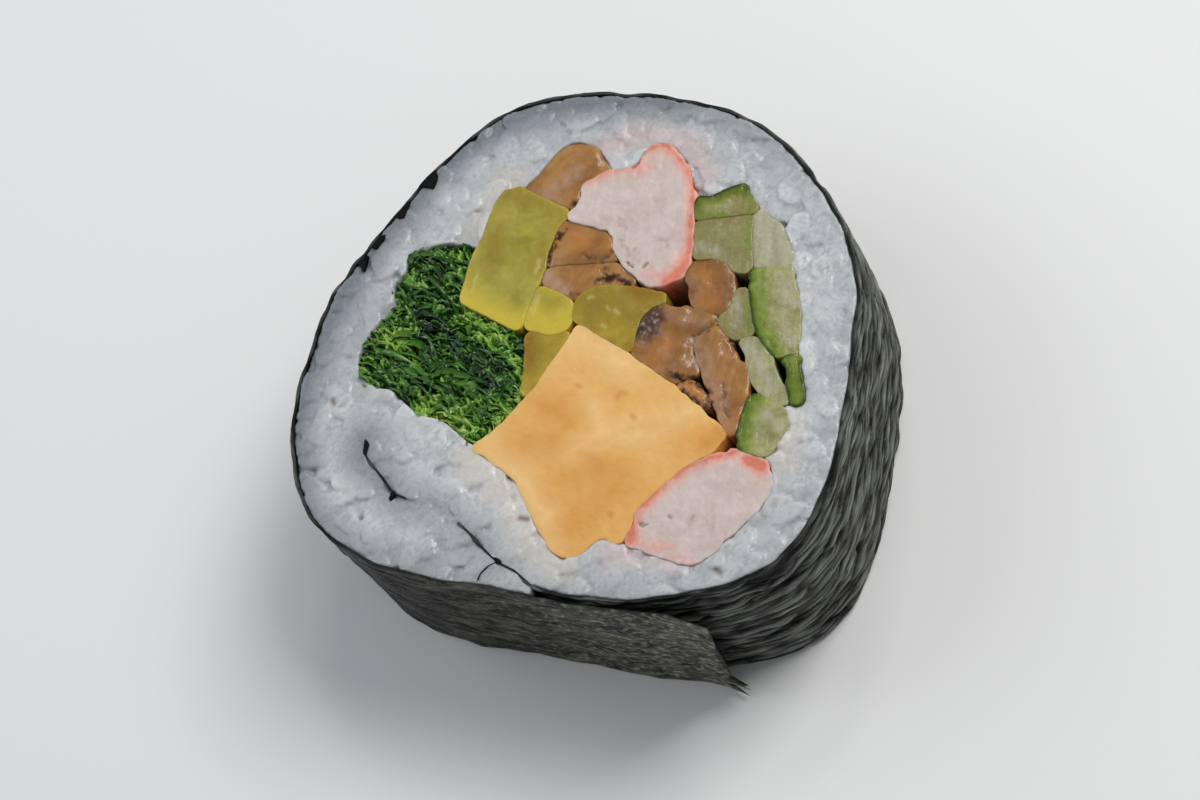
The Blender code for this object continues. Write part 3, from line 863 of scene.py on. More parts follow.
# %% The cucumber
GREEN_STROKES = [[(11.6, 12.1), (14.2, 12.3)], [(16.6, 12.6), (16.4, 8.6)],
                 [(17.8, 5.4), (17.9, 1.0), (18.9, -1.4)], [(18.7, 8.6), (18.9, 6.9)],
                 [(19.8, -3.4), (20.8, -6.6)], [(16.4, -7.4), (16.2, -10.0)],
                 [(16.4, 3.4), (16.4, 0.6)]]
SEED_STROKES = [[(19.4, 5.4), (19.6, 2.0), (20.2, -1.4)], [(20.4, 5.2), (20.6, 2.4)],
                [(17.4, 12.0), (18.2, 8.0)], [(19.6, 10.4), (19.9, 7.4)], [(16.4, -1.2), (18.6, -5.6)],
                [(12.8, 13.3), (14.8, 13.4)],
                [(14.0, 13.1), (14.3, 13.0)], [(11.9, 9.3), (13.6, 8.6)], [(15.3, 3.4), (15.4, 1.0)],
                [(17.9, -8.0), (19.2, -9.4)]]
cucumber_finish, tree, shader = new_finish("cucumber", 0.25, soft=0.45, soft_radius=(0.9, 1.0, 0.5),
                                           soft_depth=1.5, film=0.15)
flesh_tone = cloudy(tree, (0.44, 0.43, 0.20), (0.235, 0.235, 0.078), patches=0.5, flecks=1.6)
watery = tinted(tree, flesh_tone, dull=(0.24, 0.198, 0.066), green=(0.175, 0.225, 0.022),
                pale=(0.44, 0.425, 0.30))
peel_tone = colour_ramp(tree, read_mask(tree, "peel"), [
    (0.0, (1.0, 1.0, 1.0)), (0.42, (0.80, 0.94, 0.46)), (0.78, (0.44, 0.66, 0.12)),
    (0.92, (0.09, 0.18, 0.012))])
cucumber_mix = mixed(tree, 1.0, watery, peel_tone, blend_type="MULTIPLY")
lined, line_height = drawn_in_strands(tree, cucumber_mix, 1.5, 0.1, 0.12)
tree.links.new(lined, shader.inputs["Base Color"])
add_wet_film(tree, shader, 1.6, 0.12, 0.38, 0.12, line_height)


def strip_swell(flat, rim):
    return 0.10 * lumps(flat, 3.0, 2, seed=8)


for node, proud, pale, dull in (
        ("cucumber_peaked", 0.1, 0.0, 0.75), ("cucumber_square", 0.0, 0.1, 0.75),
        ("cucumber_pale", -0.1, 0.7, 0.1), ("cucumber_long", 0.05, 0.05, 0.0),
        ("cucumber_stub", -0.05, 0.05, 0.8), ("cucumber_slant", -0.05, 0.25, 0.15),
        ("cucumber_thin", 0.1, 0.0, 0.3), ("cucumber_low", 0.0, 0.1, 0.0)):
    cucumber_loop = touching(node, ragged=0.06)
    strip = run_through(node + "_strip", cucumber_loop, cucumber_finish, THICKNESS + proud, edge=0.1,
                        step=0.2, relief=strip_swell)
    strip_flat = flat_of[strip.name]
    cloud = 1 + 0.7 * lumps(strip_flat, 0.8, 3, seed=21)
    add_masks(
        strip,
        peel=peel_mask(strip_flat, cucumber_loop, node),
        green=0.75 * strokes_mask(strip_flat, GREEN_STROKES, 0.9, jagged=0.4) * cloud,
        pale=pale + 0.6 * (strokes_mask(strip_flat, SEED_STROKES, 0.8, jagged=0.4) * cloud),
        dull=dull * (1 + 0.5 * lumps(strip_flat, 1.4, 2, seed=34)),
    )
    finish_piece(strip, "cucumber", node)
print("cucumber: 8 strips, the last of", len(strip.data.polygons), "faces")

# %% [markdown]
# ## Growing many small things
#
# Rice grains, leaf curls and the sheet's wrinkles are made by Geometry Nodes: a tree of nodes that
# turns a simple mesh into a detailed one. Every tree here has named inputs for its sizes, and a seed
# where it leaves something to chance. The tree runs once as a modifier, and its result is kept as a
# plain mesh. Leaves and grains are grown in the same four steps, so each step is a helper: points are
# scattered, a shape is planted on each, noise bends the shapes, and what sticks out is drawn back. A
# Random Value node, like a Mix node, has its sockets found by their numbers.

# %% Geometry Nodes helpers


def new_growth(name, inputs):
    """A geometry tree with named number inputs; returns it, its inputs and its final socket."""
    tree = bpy.data.node_groups.new(name, "GeometryNodeTree")
    tree.interface.new_socket("Geometry", in_out="INPUT", socket_type="NodeSocketGeometry")
    for title, value in inputs.items():
        kind = "NodeSocketInt" if isinstance(value, int) else "NodeSocketFloat"
        tree.interface.new_socket(title, in_out="INPUT", socket_type=kind).default_value = value
    tree.interface.new_socket("Geometry", in_out="OUTPUT", socket_type="NodeSocketGeometry")
    return tree, tree.nodes.new("NodeGroupInput").outputs, tree.nodes.new("NodeGroupOutput").inputs


def grown(name, ground, tree, values):
    """Runs a geometry tree on the ground object and keeps the result as a plain mesh."""
    modifier = ground.modifiers.new(tree.name, "NODES")
    modifier.node_group = tree
    for item in tree.interface.items_tree:
        if item.in_out == "INPUT" and item.name in values:
            modifier[item.identifier] = values[item.name]
    evaluated = ground.evaluated_get(bpy.context.evaluated_depsgraph_get())
    mesh = bpy.data.meshes.new_from_object(evaluated)
    mesh.name = name
    piece = in_scene(name, mesh)
    bpy.data.objects.remove(ground)
    return piece


def ground_object(name, flat, faces, height, material):
    """The flat mesh that a tree grows on, at a height in millimetres."""
    points = np.column_stack((flat + ROLL_AXIS, np.full(len(flat), height))) * MM
    return new_piece(name, points, np.asarray(faces).tolist(), material)


# %% Chance and kept values
PLENTY = 1e7
NUMBER_FROM, NUMBER_TO, VECTOR_FROM, VECTOR_TO, RANDOM_SEED = 2, 3, 0, 1, 8


def random_number(tree, low, high, seed):
    limits = {NUMBER_FROM: low, NUMBER_TO: high, RANDOM_SEED: seed}
    return put(tree, "FunctionNodeRandomValue", limits).outputs[1]


def random_vector(tree, low, high, seed):
    limits = {VECTOR_FROM: low, VECTOR_TO: high, RANDOM_SEED: seed}
    return put(tree, "FunctionNodeRandomValue", limits, data_type="FLOAT_VECTOR").outputs[0]


def stored(tree, mesh, name, value, kind="FLOAT"):
    return put(tree, "GeometryNodeStoreNamedAttribute", {"Geometry": mesh, "Name": name, "Value": value},
               data_type=kind, domain="POINT").outputs[0]


def read_back(tree, name, kind="FLOAT"):
    return put(tree, "GeometryNodeInputNamedAttribute", {"Name": name}, data_type=kind).outputs[0]


# %% Steps of growing


def scattered(tree, given, mask):
    """Points dropped on the ground, none too near another, each with a shade of its own."""
    spread = put(tree, "GeometryNodeDistributePointsOnFaces",
                 {"Mesh": given["Geometry"], "Distance Min": given["Spacing"], "Density Max": PLENTY,
                  "Seed": given["Seed"]}, distribute_method="POISSON")
    shade = random_number(tree, 0.0, 1.0, given["Seed"])
    return stored(tree, spread.outputs["Points"], mask, shade)


def planted(tree, points, shape, turn, size):
    """A copy of a shape on each point, turned, sized and made real."""
    placed = put(tree, "GeometryNodeInstanceOnPoints",
                 {"Points": points, "Instance": shape, "Rotation": turn, "Scale": size})
    return put(tree, "GeometryNodeRealizeInstances", {"Geometry": placed.outputs["Instances"]}).outputs[0]


def moved(tree, mesh, **way):
    """A mesh moved by an Offset or to a Position."""
    return put(tree, "GeometryNodeSetPosition", {"Geometry": mesh, **way}).outputs[0]


def place_and_height(tree):
    place = put(tree, "GeometryNodeInputPosition").outputs[0]
    return place, put(tree, "ShaderNodeSeparateXYZ", {0: place}).outputs["Z"]


def bent_by_noise(tree, mesh, place, per_mm, reach):
    """Bends a mesh by noise that has so many bumps per millimetre."""
    noise_colour = noise_texture(tree, place, per_mm * PER_METRE, 2.0, output="Color")
    centred = vector_maths(tree, "SUBTRACT", noise_colour, (0.5, 0.5, 0.5))
    return moved(tree, mesh, Offset=scaled(tree, centred, reach))


def drawn_back(tree, mesh, ground, height):
    """Pulls what sticks out back to the ground's edge, and each point to its height."""
    nearest = put(tree, "GeometryNodeProximity", {"Geometry": ground}, target_element="FACES")
    split = put(tree, "ShaderNodeSeparateXYZ", {0: nearest.outputs["Position"]})
    return moved(tree, mesh, Position=combined(tree, split.outputs["X"], split.outputs["Y"], height))


def ended(tree, mesh, material, result):
    """Gives the grown mesh its material and takes it out of the tree."""
    last = put(tree, "GeometryNodeSetMaterial", {"Geometry": mesh, "Material": material})
    tree.links.new(last.outputs[0], result["Geometry"])


# %% [markdown]
# ## The greens
#
# Cooked greens are squeezed into a bundle, so the cut shows hundreds of folded leaf edges. The
# core of the bundle is crinkled: its relief is noise folded at zero, which gives thin crests like
# leaf edges with hollows between. On it stand small curled strips of leaf, each an arc with a flat
# section, scattered by Geometry Nodes and then crumpled by noise. A second layer of longer and wider
# leaves lies across the middle. One mask, "leaf", goes from dark to young green on all of them. On
# the core it follows the relief, so painted shade darkens the hollows and painted light brightens
# the crests.

# %% Finish of the greens
greens_finish, tree, shader = new_finish("greens", 0.3, soft=0.15, soft_radius=(0.4, 1.0, 0.1),
                                         soft_depth=0.5, film=0.3)
leaf_colour = colour_ramp(tree, read_mask(tree, "leaf"), [
    (0.0, (0.006, 0.020, 0.004)), (0.35, (0.026, 0.090, 0.012)), (0.65, (0.085, 0.22, 0.024)),
    (1.0, (0.26, 0.44, 0.06))])
tree.links.new(leaf_colour, shader.inputs["Base Color"])
add_wet_film(tree, shader, 3.0, 0.12, 0.40, 0.08)

# %% The greens' core
FOLDS_TURN = math.radians(40)
CREST_SHARPNESS = 2.4
FOLD_HEIGHT = 1.2
HOLLOWS_BELOW = 1.1
greens_loop = touching("greens_bundle", ragged=0.3)


def leaf_folds(flat):
    """0 in the hollows between leaves, 1 along a leaf's folded edge."""
    down_right = flat[:, 0] * math.cos(FOLDS_TURN) - flat[:, 1] * math.sin(FOLDS_TURN)
    up_right = flat[:, 0] * math.sin(FOLDS_TURN) + flat[:, 1] * math.cos(FOLDS_TURN)
    wide = 1 - CREST_SHARPNESS * np.abs(lumps(np.column_stack((0.5 * down_right, up_right)), 1.2, 2, seed=24))
    fine = 1 - CREST_SHARPNESS * np.abs(lumps(flat, 0.6, 2, seed=25))
    return np.clip(0.6 * wide + 0.4 * fine, 0, 1)


def greens_relief(flat, rim):
    return FOLD_HEIGHT * leaf_folds(flat) - HOLLOWS_BELOW


greens_core = run_through("greens_core", greens_loop, greens_finish, THICKNESS, edge=0.4,
                          step=0.15, relief=greens_relief)
# Painted shade and light: the core is dark in its hollows and light on its crests
add_masks(greens_core, leaf=leaf_folds(flat_of["greens_core"]))
finish_piece(greens_core, "greens", "greens_bundle")
print("greens core:", len(greens_core.data.polygons), "faces")

# %% Leaf curls by Geometry Nodes
LEAF_TURNS = ((-0.8, -0.8, -1.25), (0.8, 0.8, -0.1))
LEAF_SIZES = ((0.4, 0.3, 0.5), (2.8, 1.0, 1.3))
leaf_curls, given, result = new_growth("leaf curls", {
    "Curl Radius": 0.50 * MM, "Leaf Thickness": 0.10 * MM, "Leaf Height": 0.6 * MM,
    "Spacing": 0.45 * MM, "Crumple": 0.5 * MM, "Top": 20.3 * MM, "Seed": 1})
arc = put(leaf_curls, "GeometryNodeCurveArc",
          {"Resolution": 6, "Radius": given["Curl Radius"], "Sweep Angle": math.radians(200)})
section = put(leaf_curls, "GeometryNodeCurvePrimitiveQuadrilateral",
              {"Width": given["Leaf Thickness"], "Height": given["Leaf Height"]})
curl = put(leaf_curls, "GeometryNodeCurveToMesh",
           {"Curve": arc.outputs["Curve"], "Profile Curve": section.outputs["Curve"], "Fill Caps": True})
turn = random_vector(leaf_curls, *LEAF_TURNS, given["Seed"])
size = random_vector(leaf_curls, *LEAF_SIZES, given["Seed"])
curls = planted(leaf_curls, scattered(leaf_curls, given, "leaf"), curl.outputs["Mesh"], turn, size)

# %% Crumpled and capped leaves
CRUMPLE_PER_MM = 0.9
HOLLOWS_PER_MM = 0.45
HOLLOWS_FROM = 0.60
HOLLOWS_DEPTH = 4.0
place, height = place_and_height(leaf_curls)
crumple = maths(leaf_curls, "MULTIPLY", given["Crumple"], 3.0)
crumpled = bent_by_noise(leaf_curls, curls, place, CRUMPLE_PER_MM, crumple)
hollows = noise_texture(leaf_curls, place, HOLLOWS_PER_MM * PER_METRE, 1.0)
hollows = maths(leaf_curls, "SUBTRACT", hollows, HOLLOWS_FROM)
hollow_depth = maths(leaf_curls, "MULTIPLY", hollows, HOLLOWS_DEPTH * MM)
own_top = maths(leaf_curls, "ADD", given["Top"], maths(leaf_curls, "MINIMUM", hollow_depth, 0.0))
capped = maths(leaf_curls, "SMOOTH_MIN", height, own_top, 0.3 * MM)
ended(leaf_curls, drawn_back(leaf_curls, crumpled, given["Geometry"], capped), greens_finish, result)

# %% Where the leaves are young or dark
BRIGHT_LEAVES = [[(-8.4, -7.4), (-6.4, -5.4), (-5.4, -2.6), (-5.2, -0.8)], [(-11.2, 5.2), (-8.2, 3.6)],
                 [(-18.6, 3.6), (-15.6, 2.4)], [(-14.0, -4.6), (-11.5, -6.2)]]
DARK_LEAVES = [[(-16.2, 7.4), (-11.8, 2.6), (-8.6, -0.6), (-6.4, -2.2)], [(-8.6, -1.8), (-6.2, -3.4)],
               [(-5.2, 2.0), (-4.8, 1.2)], [(-15.0, 5.6), (-14.2, 1.0)]]


def mirrored(piece):
    """Turns a piece made on the front face over, so that it lies on the rear face."""
    work = bmesh.new()
    work.from_mesh(piece.data)
    for vert in work.verts:
        vert.co.z = THICKNESS * MM - vert.co.z
    bmesh.ops.reverse_faces(work, faces=work.faces)
    work.to_mesh(piece.data)
    work.free()


def shaded_leaves(piece, weight, base=0.16):
    """Young yellowish leaf along the lower edge, dark soft leaf through the middle."""
    own = read_out(piece.data.attributes["leaf"].data, "value")
    flat = flat_places(piece)
    young = strokes_mask(flat, BRIGHT_LEAVES, 2.2)
    soft = strokes_mask(flat, DARK_LEAVES, 1.6, jagged=0.8)
    clumps = 0.35 * lumps(flat, 1.5, 3, seed=22)
    add_masks(piece, leaf=base + weight * own + clumps + 0.42 * young - 0.40 * soft)


shaded_leaves(greens_core, 0.75)

# %% Leaves on both cut faces
GROUND_STEP = 0.8
LEAVES_ABOVE = 0.3
GROUND_BELOW = 0.5
LONG_LEAVES = np.array([(-17.0, 8.6), (-19.6, 2.6), (-17.8, -0.6), (-12.6, -3.6), (-8.4, -6.6), (-6.0, -4.6),
                        (-5.9, -1.6), (-9.4, 2.4), (-12.4, 6.4), (-13.6, 10.6)])
all_over = face_mesh(greens_loop, 0, GROUND_STEP)
middle = face_mesh(even_steps(LONG_LEAVES, GROUND_STEP), 0, GROUND_STEP)
layers = [
    ("greens_curls", all_over, 0.42, 0.23, {}),
    ("greens_leaves", middle, 0.36, 0.24,
     {"Curl Radius": 1.2 * MM, "Leaf Thickness": 0.18 * MM, "Leaf Height": 0.8 * MM, "Spacing": 0.85 * MM}),
]
for face_name, height, seed in (("front", THICKNESS, 3), ("rear", 0.0, 4)):
    top = (THICKNESS + LEAVES_ABOVE * (height > 0)) * MM
    for title, (flat, faces), weight, base, sizes in layers:
        ground = ground_object("greens ground", leaned(flat, height), faces, THICKNESS - GROUND_BELOW,
                               greens_finish)
        leaves = grown(f"{title}_{face_name}", ground, leaf_curls, {"Seed": seed, "Top": top, **sizes})
        shaded_leaves(leaves, weight, base)
        if height == 0:
            mirrored(leaves)
        finish_piece(leaves, "greens")
        print(leaves.name, len(leaves.data.polygons), "faces")

# %% [markdown]
# ## The seaweed's course
#
# The sheet is one long ribbon. Its outline on a cut face runs up one side of the ribbon and
# back along the other, and its two shortest edges are the ribbon's ends, so the outline can
# be parted there. Halfway between the two sides runs the sheet's own line, from the
# tail inside the rice to the free flap.

# %% The seaweed's course
SHEET_THICKNESS = 0.24
STEP_ALONG = 0.5
COVERED_TAIL = (-13.1, -14.0)
COVERED_LENGTH = 2.2


def out_of(line):
    """Unit normals on the right hand of a line, which is the roll's outside."""
    along = np.gradient(line, axis=0)
    along /= np.linalg.norm(along, axis=1, keepdims=True)
    return np.column_stack((along[:, 1], -along[:, 0]))


def sheet_line(front):
    """The sheet's middle line on a cut face, from its tail to its flap."""
    loop = cut_loops("seaweed_wrap", front)[0]
    lengths = np.linalg.norm(np.roll(loop, -1, axis=0) - loop, axis=1)
    first, last = sorted(np.argsort(lengths)[:2])
    one_side = loop[first + 1:last + 1]
    other_side = np.roll(loop, -last - 1, axis=0)[:len(loop) - len(one_side)][::-1]
    line = (one_side + other_side) / 2
    return line if np.hypot(*line[0]) < np.hypot(*line[-1]) else line[::-1]


def smoothed(line, reach=3):
    """Takes the corners off an open line that has even steps."""
    weights = np.hanning(2 * reach + 1)
    weights /= weights.sum()
    padded = np.vstack((np.repeat(line[:1], reach, 0), line, np.repeat(line[-1:], reach, 0)))
    soft = np.column_stack([np.convolve(padded[:, axis], weights, "valid") for axis in (0, 1)])
    soft[0], soft[-1] = line[0], line[-1]
    return soft


front_line = sheet_line(True)
sheet_length = np.linalg.norm(np.diff(front_line, axis=0), axis=1).sum()
count_along = round(sheet_length / STEP_ALONG)
front_line = smoothed(even_steps(front_line, count=count_along, closed=False))
rear_line = smoothed(even_steps(sheet_line(False), count=count_along, closed=False))
print("sheet:", round(sheet_length), "mm long, in", count_along, "steps")

# %% [markdown]
# ## How the rice pushes the sheet about
#
# A damp sheet takes the shape of the grains under it, so its line on the cut is slightly
# scalloped. This is one field of shifts, in millimetres, strongest at the sheet and gone a
# little way inside. The sheet and the rice's outer edge are both moved by it, so they stay
# together.

# %% The field of shifts
SCALLOP = 0.20
SWAY = 0.20
FADE_INSIDE = 2.5


def pressed(flat, height, line):
    """Points moved as the rice and the folds push them."""
    radius = np.hypot(flat[:, 0], flat[:, 1])[:, None]
    outwards = flat / radius
    height = np.broadcast_to(height, len(flat))
    places = np.column_stack((flat, height))
    push = np.array([
        SCALLOP * noise.noise(Vector(place) / 2.3) + SWAY * noise.noise(Vector(place) / 6.5)
        for place in places
    ])
    fade = np.clip(1 - distance_to_line(flat, line, closed=False) / FADE_INSIDE, 0, 1)
    return flat + outwards * (push * fade)[:, None]


# %% [markdown]
# ## Where the rice lies
#
# Rice fills the ring between the sheet and the bundle of fillings. Its outer outline, with the slot
# that the sheet's tail lies in, is on the model's rice bed. The inner one is felt out from the middle
# of the bundle: a ray in each direction, up to the last filling that it meets. The ring between them
# is triangulated, and this is the ground that grains are dropped on.

# %% The rice's ground
RICE_TO_SHEET = 0.36
UNDER_FILLINGS = 0.1
BUNDLE_MIDDLE = np.array([2.0, 1.0])


def felt_out(loops, middle, rays=720):
    """The outline that rays from the middle of several loops last cross."""
    starts = np.vstack(loops) - middle
    ways = np.vstack([np.roll(loop, -1, axis=0) - loop for loop in loops])
    turns = np.linspace(0, 2 * math.pi, rays, endpoint=False)
    headings = np.column_stack((np.cos(turns), np.sin(turns)))
    outline = []
    for heading in headings:
        beside = heading[0] * ways[:, 1] - heading[1] * ways[:, 0]
        beside = np.where(np.abs(beside) < 1e-9, 1e-9, beside)
        far = (starts[:, 0] * ways[:, 1] - starts[:, 1] * ways[:, 0]) / beside
        share = (starts[:, 0] * heading[1] - starts[:, 1] * heading[0]) / beside
        outline.append(far[(share >= 0) & (share <= 1)].max())
    return np.array(outline)[:, None], headings


rice_edge = swollen(rounded(even_steps(cut_loops("rice_bed")[0], 0.3)), RICE_TO_SHEET)
far, headings = felt_out([touching(name) for name in smooth_loops], BUNDLE_MIDDLE)
bundle = BUNDLE_MIDDLE + far * headings
drawn_under = UNDER_FILLINGS * (1 + lumps(bundle, 1.2, 3, seed=11))
rice_hole = rounded(even_steps(bundle - drawn_under[:, None] * headings, 0.25))
rice_flat, rice_faces = triangulated([rice_edge, rice_hole], [honeycomb(rice_edge, 0.7)], inside_only=False,
                                     apart=1e-5)
middles = rice_flat[rice_faces].mean(axis=1)
rice_faces = rice_faces[inside(middles, rice_edge) & ~inside(middles, rice_hole)]
corners = rice_flat[rice_faces]
across, up_side = corners[:, 1] - corners[:, 0], corners[:, 2] - corners[:, 0]
area = 0.5 * np.abs(across[:, 0] * up_side[:, 1] - across[:, 1] * up_side[:, 0]).sum()
print("rice shows on", round(area), "square mm of the cut face")

# %% [markdown]
# ## Rice grains
#
# Boiled rice packs into a mass where the knife cuts straight through the grains. Each grain is a
# stretched ball, dropped at random on the rice's ground and turned every way. A soft limit
# then presses it flat at the cut, a little higher or lower and a little tilted for each
# grain, and what would stick into the sheet or a filling is pulled back to the ground's edge. Below,
# where nobody sees them, all grains end on one level.

# %% Finish of the rice
rice_finish, tree, shader = new_finish("rice", 0.35, soft=0.7, soft_radius=(1.0, 0.95, 0.9), soft_depth=0.9,
                                       film=0.1)
clear_rice = cloudy(tree, (0.455, 0.475, 0.49), (0.345, 0.37, 0.39), patches=0.25, flecks=0.9)
milky = maths(tree, "MULTIPLY_ADD", read_mask(tree, "grain"), 0.6,
              maths(tree, "MULTIPLY", read_mask(tree, "core"), 0.4))
grain_colour = mixed(tree, milky, clear_rice, (0.63, 0.64, 0.645, 1))
stained_rice = tinted(tree, grain_colour, warmth=(0.70, 0.63, 0.55), shade=(0.20, 0.225, 0.245),
                      blush=(0.68, 0.47, 0.47), fleck=(0.17, 0.11, 0.075))
tree.links.new(stained_rice, shader.inputs["Base Color"])
add_wet_film(tree, shader, 2.2, 0.12, 0.42, 0.08)

# %% Grains by Geometry Nodes
GRAIN_TILTS = ((-0.12, -0.12, 0.0), (0.12, 0.12, 0.0))
GRAIN_TURNS = ((0.0, -0.9, 0.0), (6.28, 0.9, 6.28))
GRAIN_SIZES = ((0.7, 0.85, 0.85), (1.1, 1.15, 1.15))
TILT_SEED, DEPTH_SEED = 77, 5
rice_grains, given, result = new_growth("rice grains", {
    "Grain Length": 4.6 * MM, "Grain Width": 2.1 * MM, "Spacing": 0.95 * MM, "Deepest": 1.5 * MM,
    "Cut Height": 20.0 * MM, "Unevenness": 0.35 * MM, "Softness": 0.35 * MM, "Layer Depth": 1.5 * MM,
    "Seed": 1})
place, height = place_and_height(rice_grains)
points = stored(rice_grains, scattered(rice_grains, given, "grain"), "centre", place, "FLOAT_VECTOR")
lean_by = random_vector(rice_grains, *GRAIN_TILTS, TILT_SEED)
points = stored(rice_grains, points, "tilt", lean_by, "FLOAT_VECTOR")
depth = random_number(rice_grains, 0.1 * MM, given["Deepest"], DEPTH_SEED)
down = combined(rice_grains, 0.0, 0.0, maths(rice_grains, "MULTIPLY", depth, -1.0))
sunk = moved(rice_grains, points, Offset=down)
ball = put(rice_grains, "GeometryNodeMeshUVSphere", {"Segments": 10, "Rings": 8, "Radius": 0.5})
shape = combined(rice_grains, given["Grain Length"], given["Grain Width"], given["Grain Width"])
grain = put(rice_grains, "GeometryNodeTransform", {"Geometry": ball.outputs["Mesh"], "Scale": shape})
turn = random_vector(rice_grains, *GRAIN_TURNS, given["Seed"])
size = random_vector(rice_grains, *GRAIN_SIZES, given["Seed"])
grains = planted(rice_grains, sunk, grain.outputs[0], turn, size)

# %% Grains bent and cut
BEND_PER_MM = 0.5
BEND_REACH = 0.9
CORE_SHOWS_AT = 0.7
bent = bent_by_noise(rice_grains, grains, place, BEND_PER_MM, BEND_REACH * MM)
from_centre = vector_maths(rice_grains, "SUBTRACT", place, read_back(rice_grains, "centre", "FLOAT_VECTOR"))
slope = vector_maths(rice_grains, "DOT_PRODUCT", from_centre, read_back(rice_grains, "tilt", "FLOAT_VECTOR"),
                     output="Value")
own_height = maths(rice_grains, "MULTIPLY_ADD", read_back(rice_grains, "grain"), given["Unevenness"],
                   given["Cut Height"])
limit = maths(rice_grains, "ADD", maths(rice_grains, "SUBTRACT", own_height, given["Unevenness"]), slope)
flattened = maths(rice_grains, "SMOOTH_MIN", height, limit, given["Softness"])
layer_floor = maths(rice_grains, "SUBTRACT", given["Cut Height"], given["Layer Depth"])
cut_height = maths(rice_grains, "MAXIMUM", flattened, layer_floor)
cut_off = maths(rice_grains, "SUBTRACT", height, flattened)
opened = stored(rice_grains, bent, "core", maths(rice_grains, "MULTIPLY", cut_off, 1 / (CORE_SHOWS_AT * MM)))
ended(rice_grains, drawn_back(rice_grains, opened, given["Geometry"], cut_height), rice_finish, result)

# %% [markdown]
# ## One skin over the grains
#
# Separate grains would look like gravel, where boiled rice sticks together. A voxel remesh melts the
# overlapping grains into one skin with soft hollows between them. Each point of the skin takes its
# shades from the nearest point of the grains, so that single grains can still be told apart.

# %% Fusing the grains
GRAIN_VOXEL = 0.18


def fused(piece):
    """One soft skin over overlapping grains, which keeps the grains' own shades."""
    tree = kdtree.KDTree(len(piece.data.vertices))
    for vert in piece.data.vertices:
        tree.insert(vert.co, vert.index)
    tree.balance()
    remesh = piece.modifiers.new("fuse", "REMESH")
    remesh.mode = "VOXEL"
    remesh.voxel_size = GRAIN_VOXEL * MM
    mesh = bpy.data.meshes.new_from_object(piece.evaluated_get(bpy.context.evaluated_depsgraph_get()))
    nearest = [tree.find(vert.co)[1] for vert in mesh.vertices]
    mesh.shade_smooth()
    mesh.materials.clear()
    mesh.materials.append(rice_finish)
    skin = in_scene(piece.name + "_skin", mesh)
    add_masks(skin, **{title: read_out(piece.data.attributes[title].data, "value")[nearest]
                       for title in ("grain", "core")})
    bpy.data.objects.remove(piece)
    return skin


# %% [markdown]
# ## Rice on both cut faces
#
# Each cut face gets grains of its own. Those beside the sheet's tail are pulled wholly to their own
# side of it, so the tail shows as a dark line. Painted shade makes the rice greyer beside the sheet
# and towards the upper left, and strokes add more of it; other strokes say where the rice is warmer
# beside the egg, or pink from a crab stick. The rear face is made like the front one and turned over.

# %% Rice on both cut faces
BLUSH_STROKES = [[(2.0, 20.5), (6.0, 21.8), (11.0, 20.0), (12.4, 16.5)],
                 [(3.4, -20.0), (6.8, -20.0), (9.4, -21.0)]]
WARM_STROKES = [[(-9.0, -9.0), (-5.4, -13.0), (-3.4, -17.4)],
                [(-10.0, -9.5), (-6.2, -13.5), (-4.0, -18.0), (-1.0, -21.0)],
                [(-9.5, 14.2), (-6.5, 18.5)], [(19.6, -8.6), (19.2, -12.5)]]
DIM_STROKES = [[(-17.0, -18.0), (-11.0, -18.6), (-8.0, -21.0)], [(-8.0, 23.5), (0.0, 24.6), (9.0, 23.0)],
               [(12.0, 20.0), (16.0, 17.0)], [(-3.0, -22.8), (5.0, -23.0)], [(-20.0, 9.0), (-22.4, 3.0)],
               [(15.0, -20.0), (20.0, -14.0)]]
FLECK_STROKES = [[(-4.9, -15.7), (-4.2, -15.9)], [(13.3, -22.3), (13.7, -22.6)],
                 [(-23.6, -2.2), (-23.4, -2.6)]]
TAIL_STEPS = 62
TAIL_CLEAR = 0.09
TAIL_UNEVEN = 0.08
BESIDE_TAIL = 3.5
SHEET_SHOWS_WITHIN = 3.2
FACE_RADIUS = 25


def parted_by_tail(piece, course):
    """Pulls each grain beside the sheet's tail wholly to its own side of it."""
    tail = course[:TAIL_STEPS]
    away = out_of(tail)
    points = read_out(piece.data.vertices, "co", 3)
    flat = points[:, :2] / MM - ROLL_AXIS
    middle = read_out(piece.data.attributes["centre"].data, "vector", 3)[:, :2] / MM - ROLL_AXIS

    def beside(places):
        nearest = np.linalg.norm(places[:, None] - tail, axis=2).argmin(axis=1)
        return nearest, ((places - tail[nearest]) * away[nearest]).sum(axis=1)

    near = np.flatnonzero(distance_to_line(flat, tail, closed=False) < BESIDE_TAIL)
    end_way = tail[0] - tail[1]
    near = near[flat[near] @ end_way < tail[0] @ end_way]
    _, own_side = beside(middle[near])
    nearest, offset = beside(flat[near])
    side = np.where(own_side > 0, 1.0, -1.0)
    clear = TAIL_CLEAR + TAIL_UNEVEN * lumps(tail, 1.2, 2, seed=13)
    short = np.clip(clear[nearest] - offset * side, 0, None)
    hidden = np.linalg.norm(flat[near] - np.array(COVERED_TAIL), axis=1) < COVERED_LENGTH
    short[hidden] = 0
    flat[near] += away[nearest] * (side * short)[:, None]
    points[:, :2] = (flat + ROLL_AXIS) * MM
    piece.data.vertices.foreach_set("co", points.ravel())
    piece.data.update()


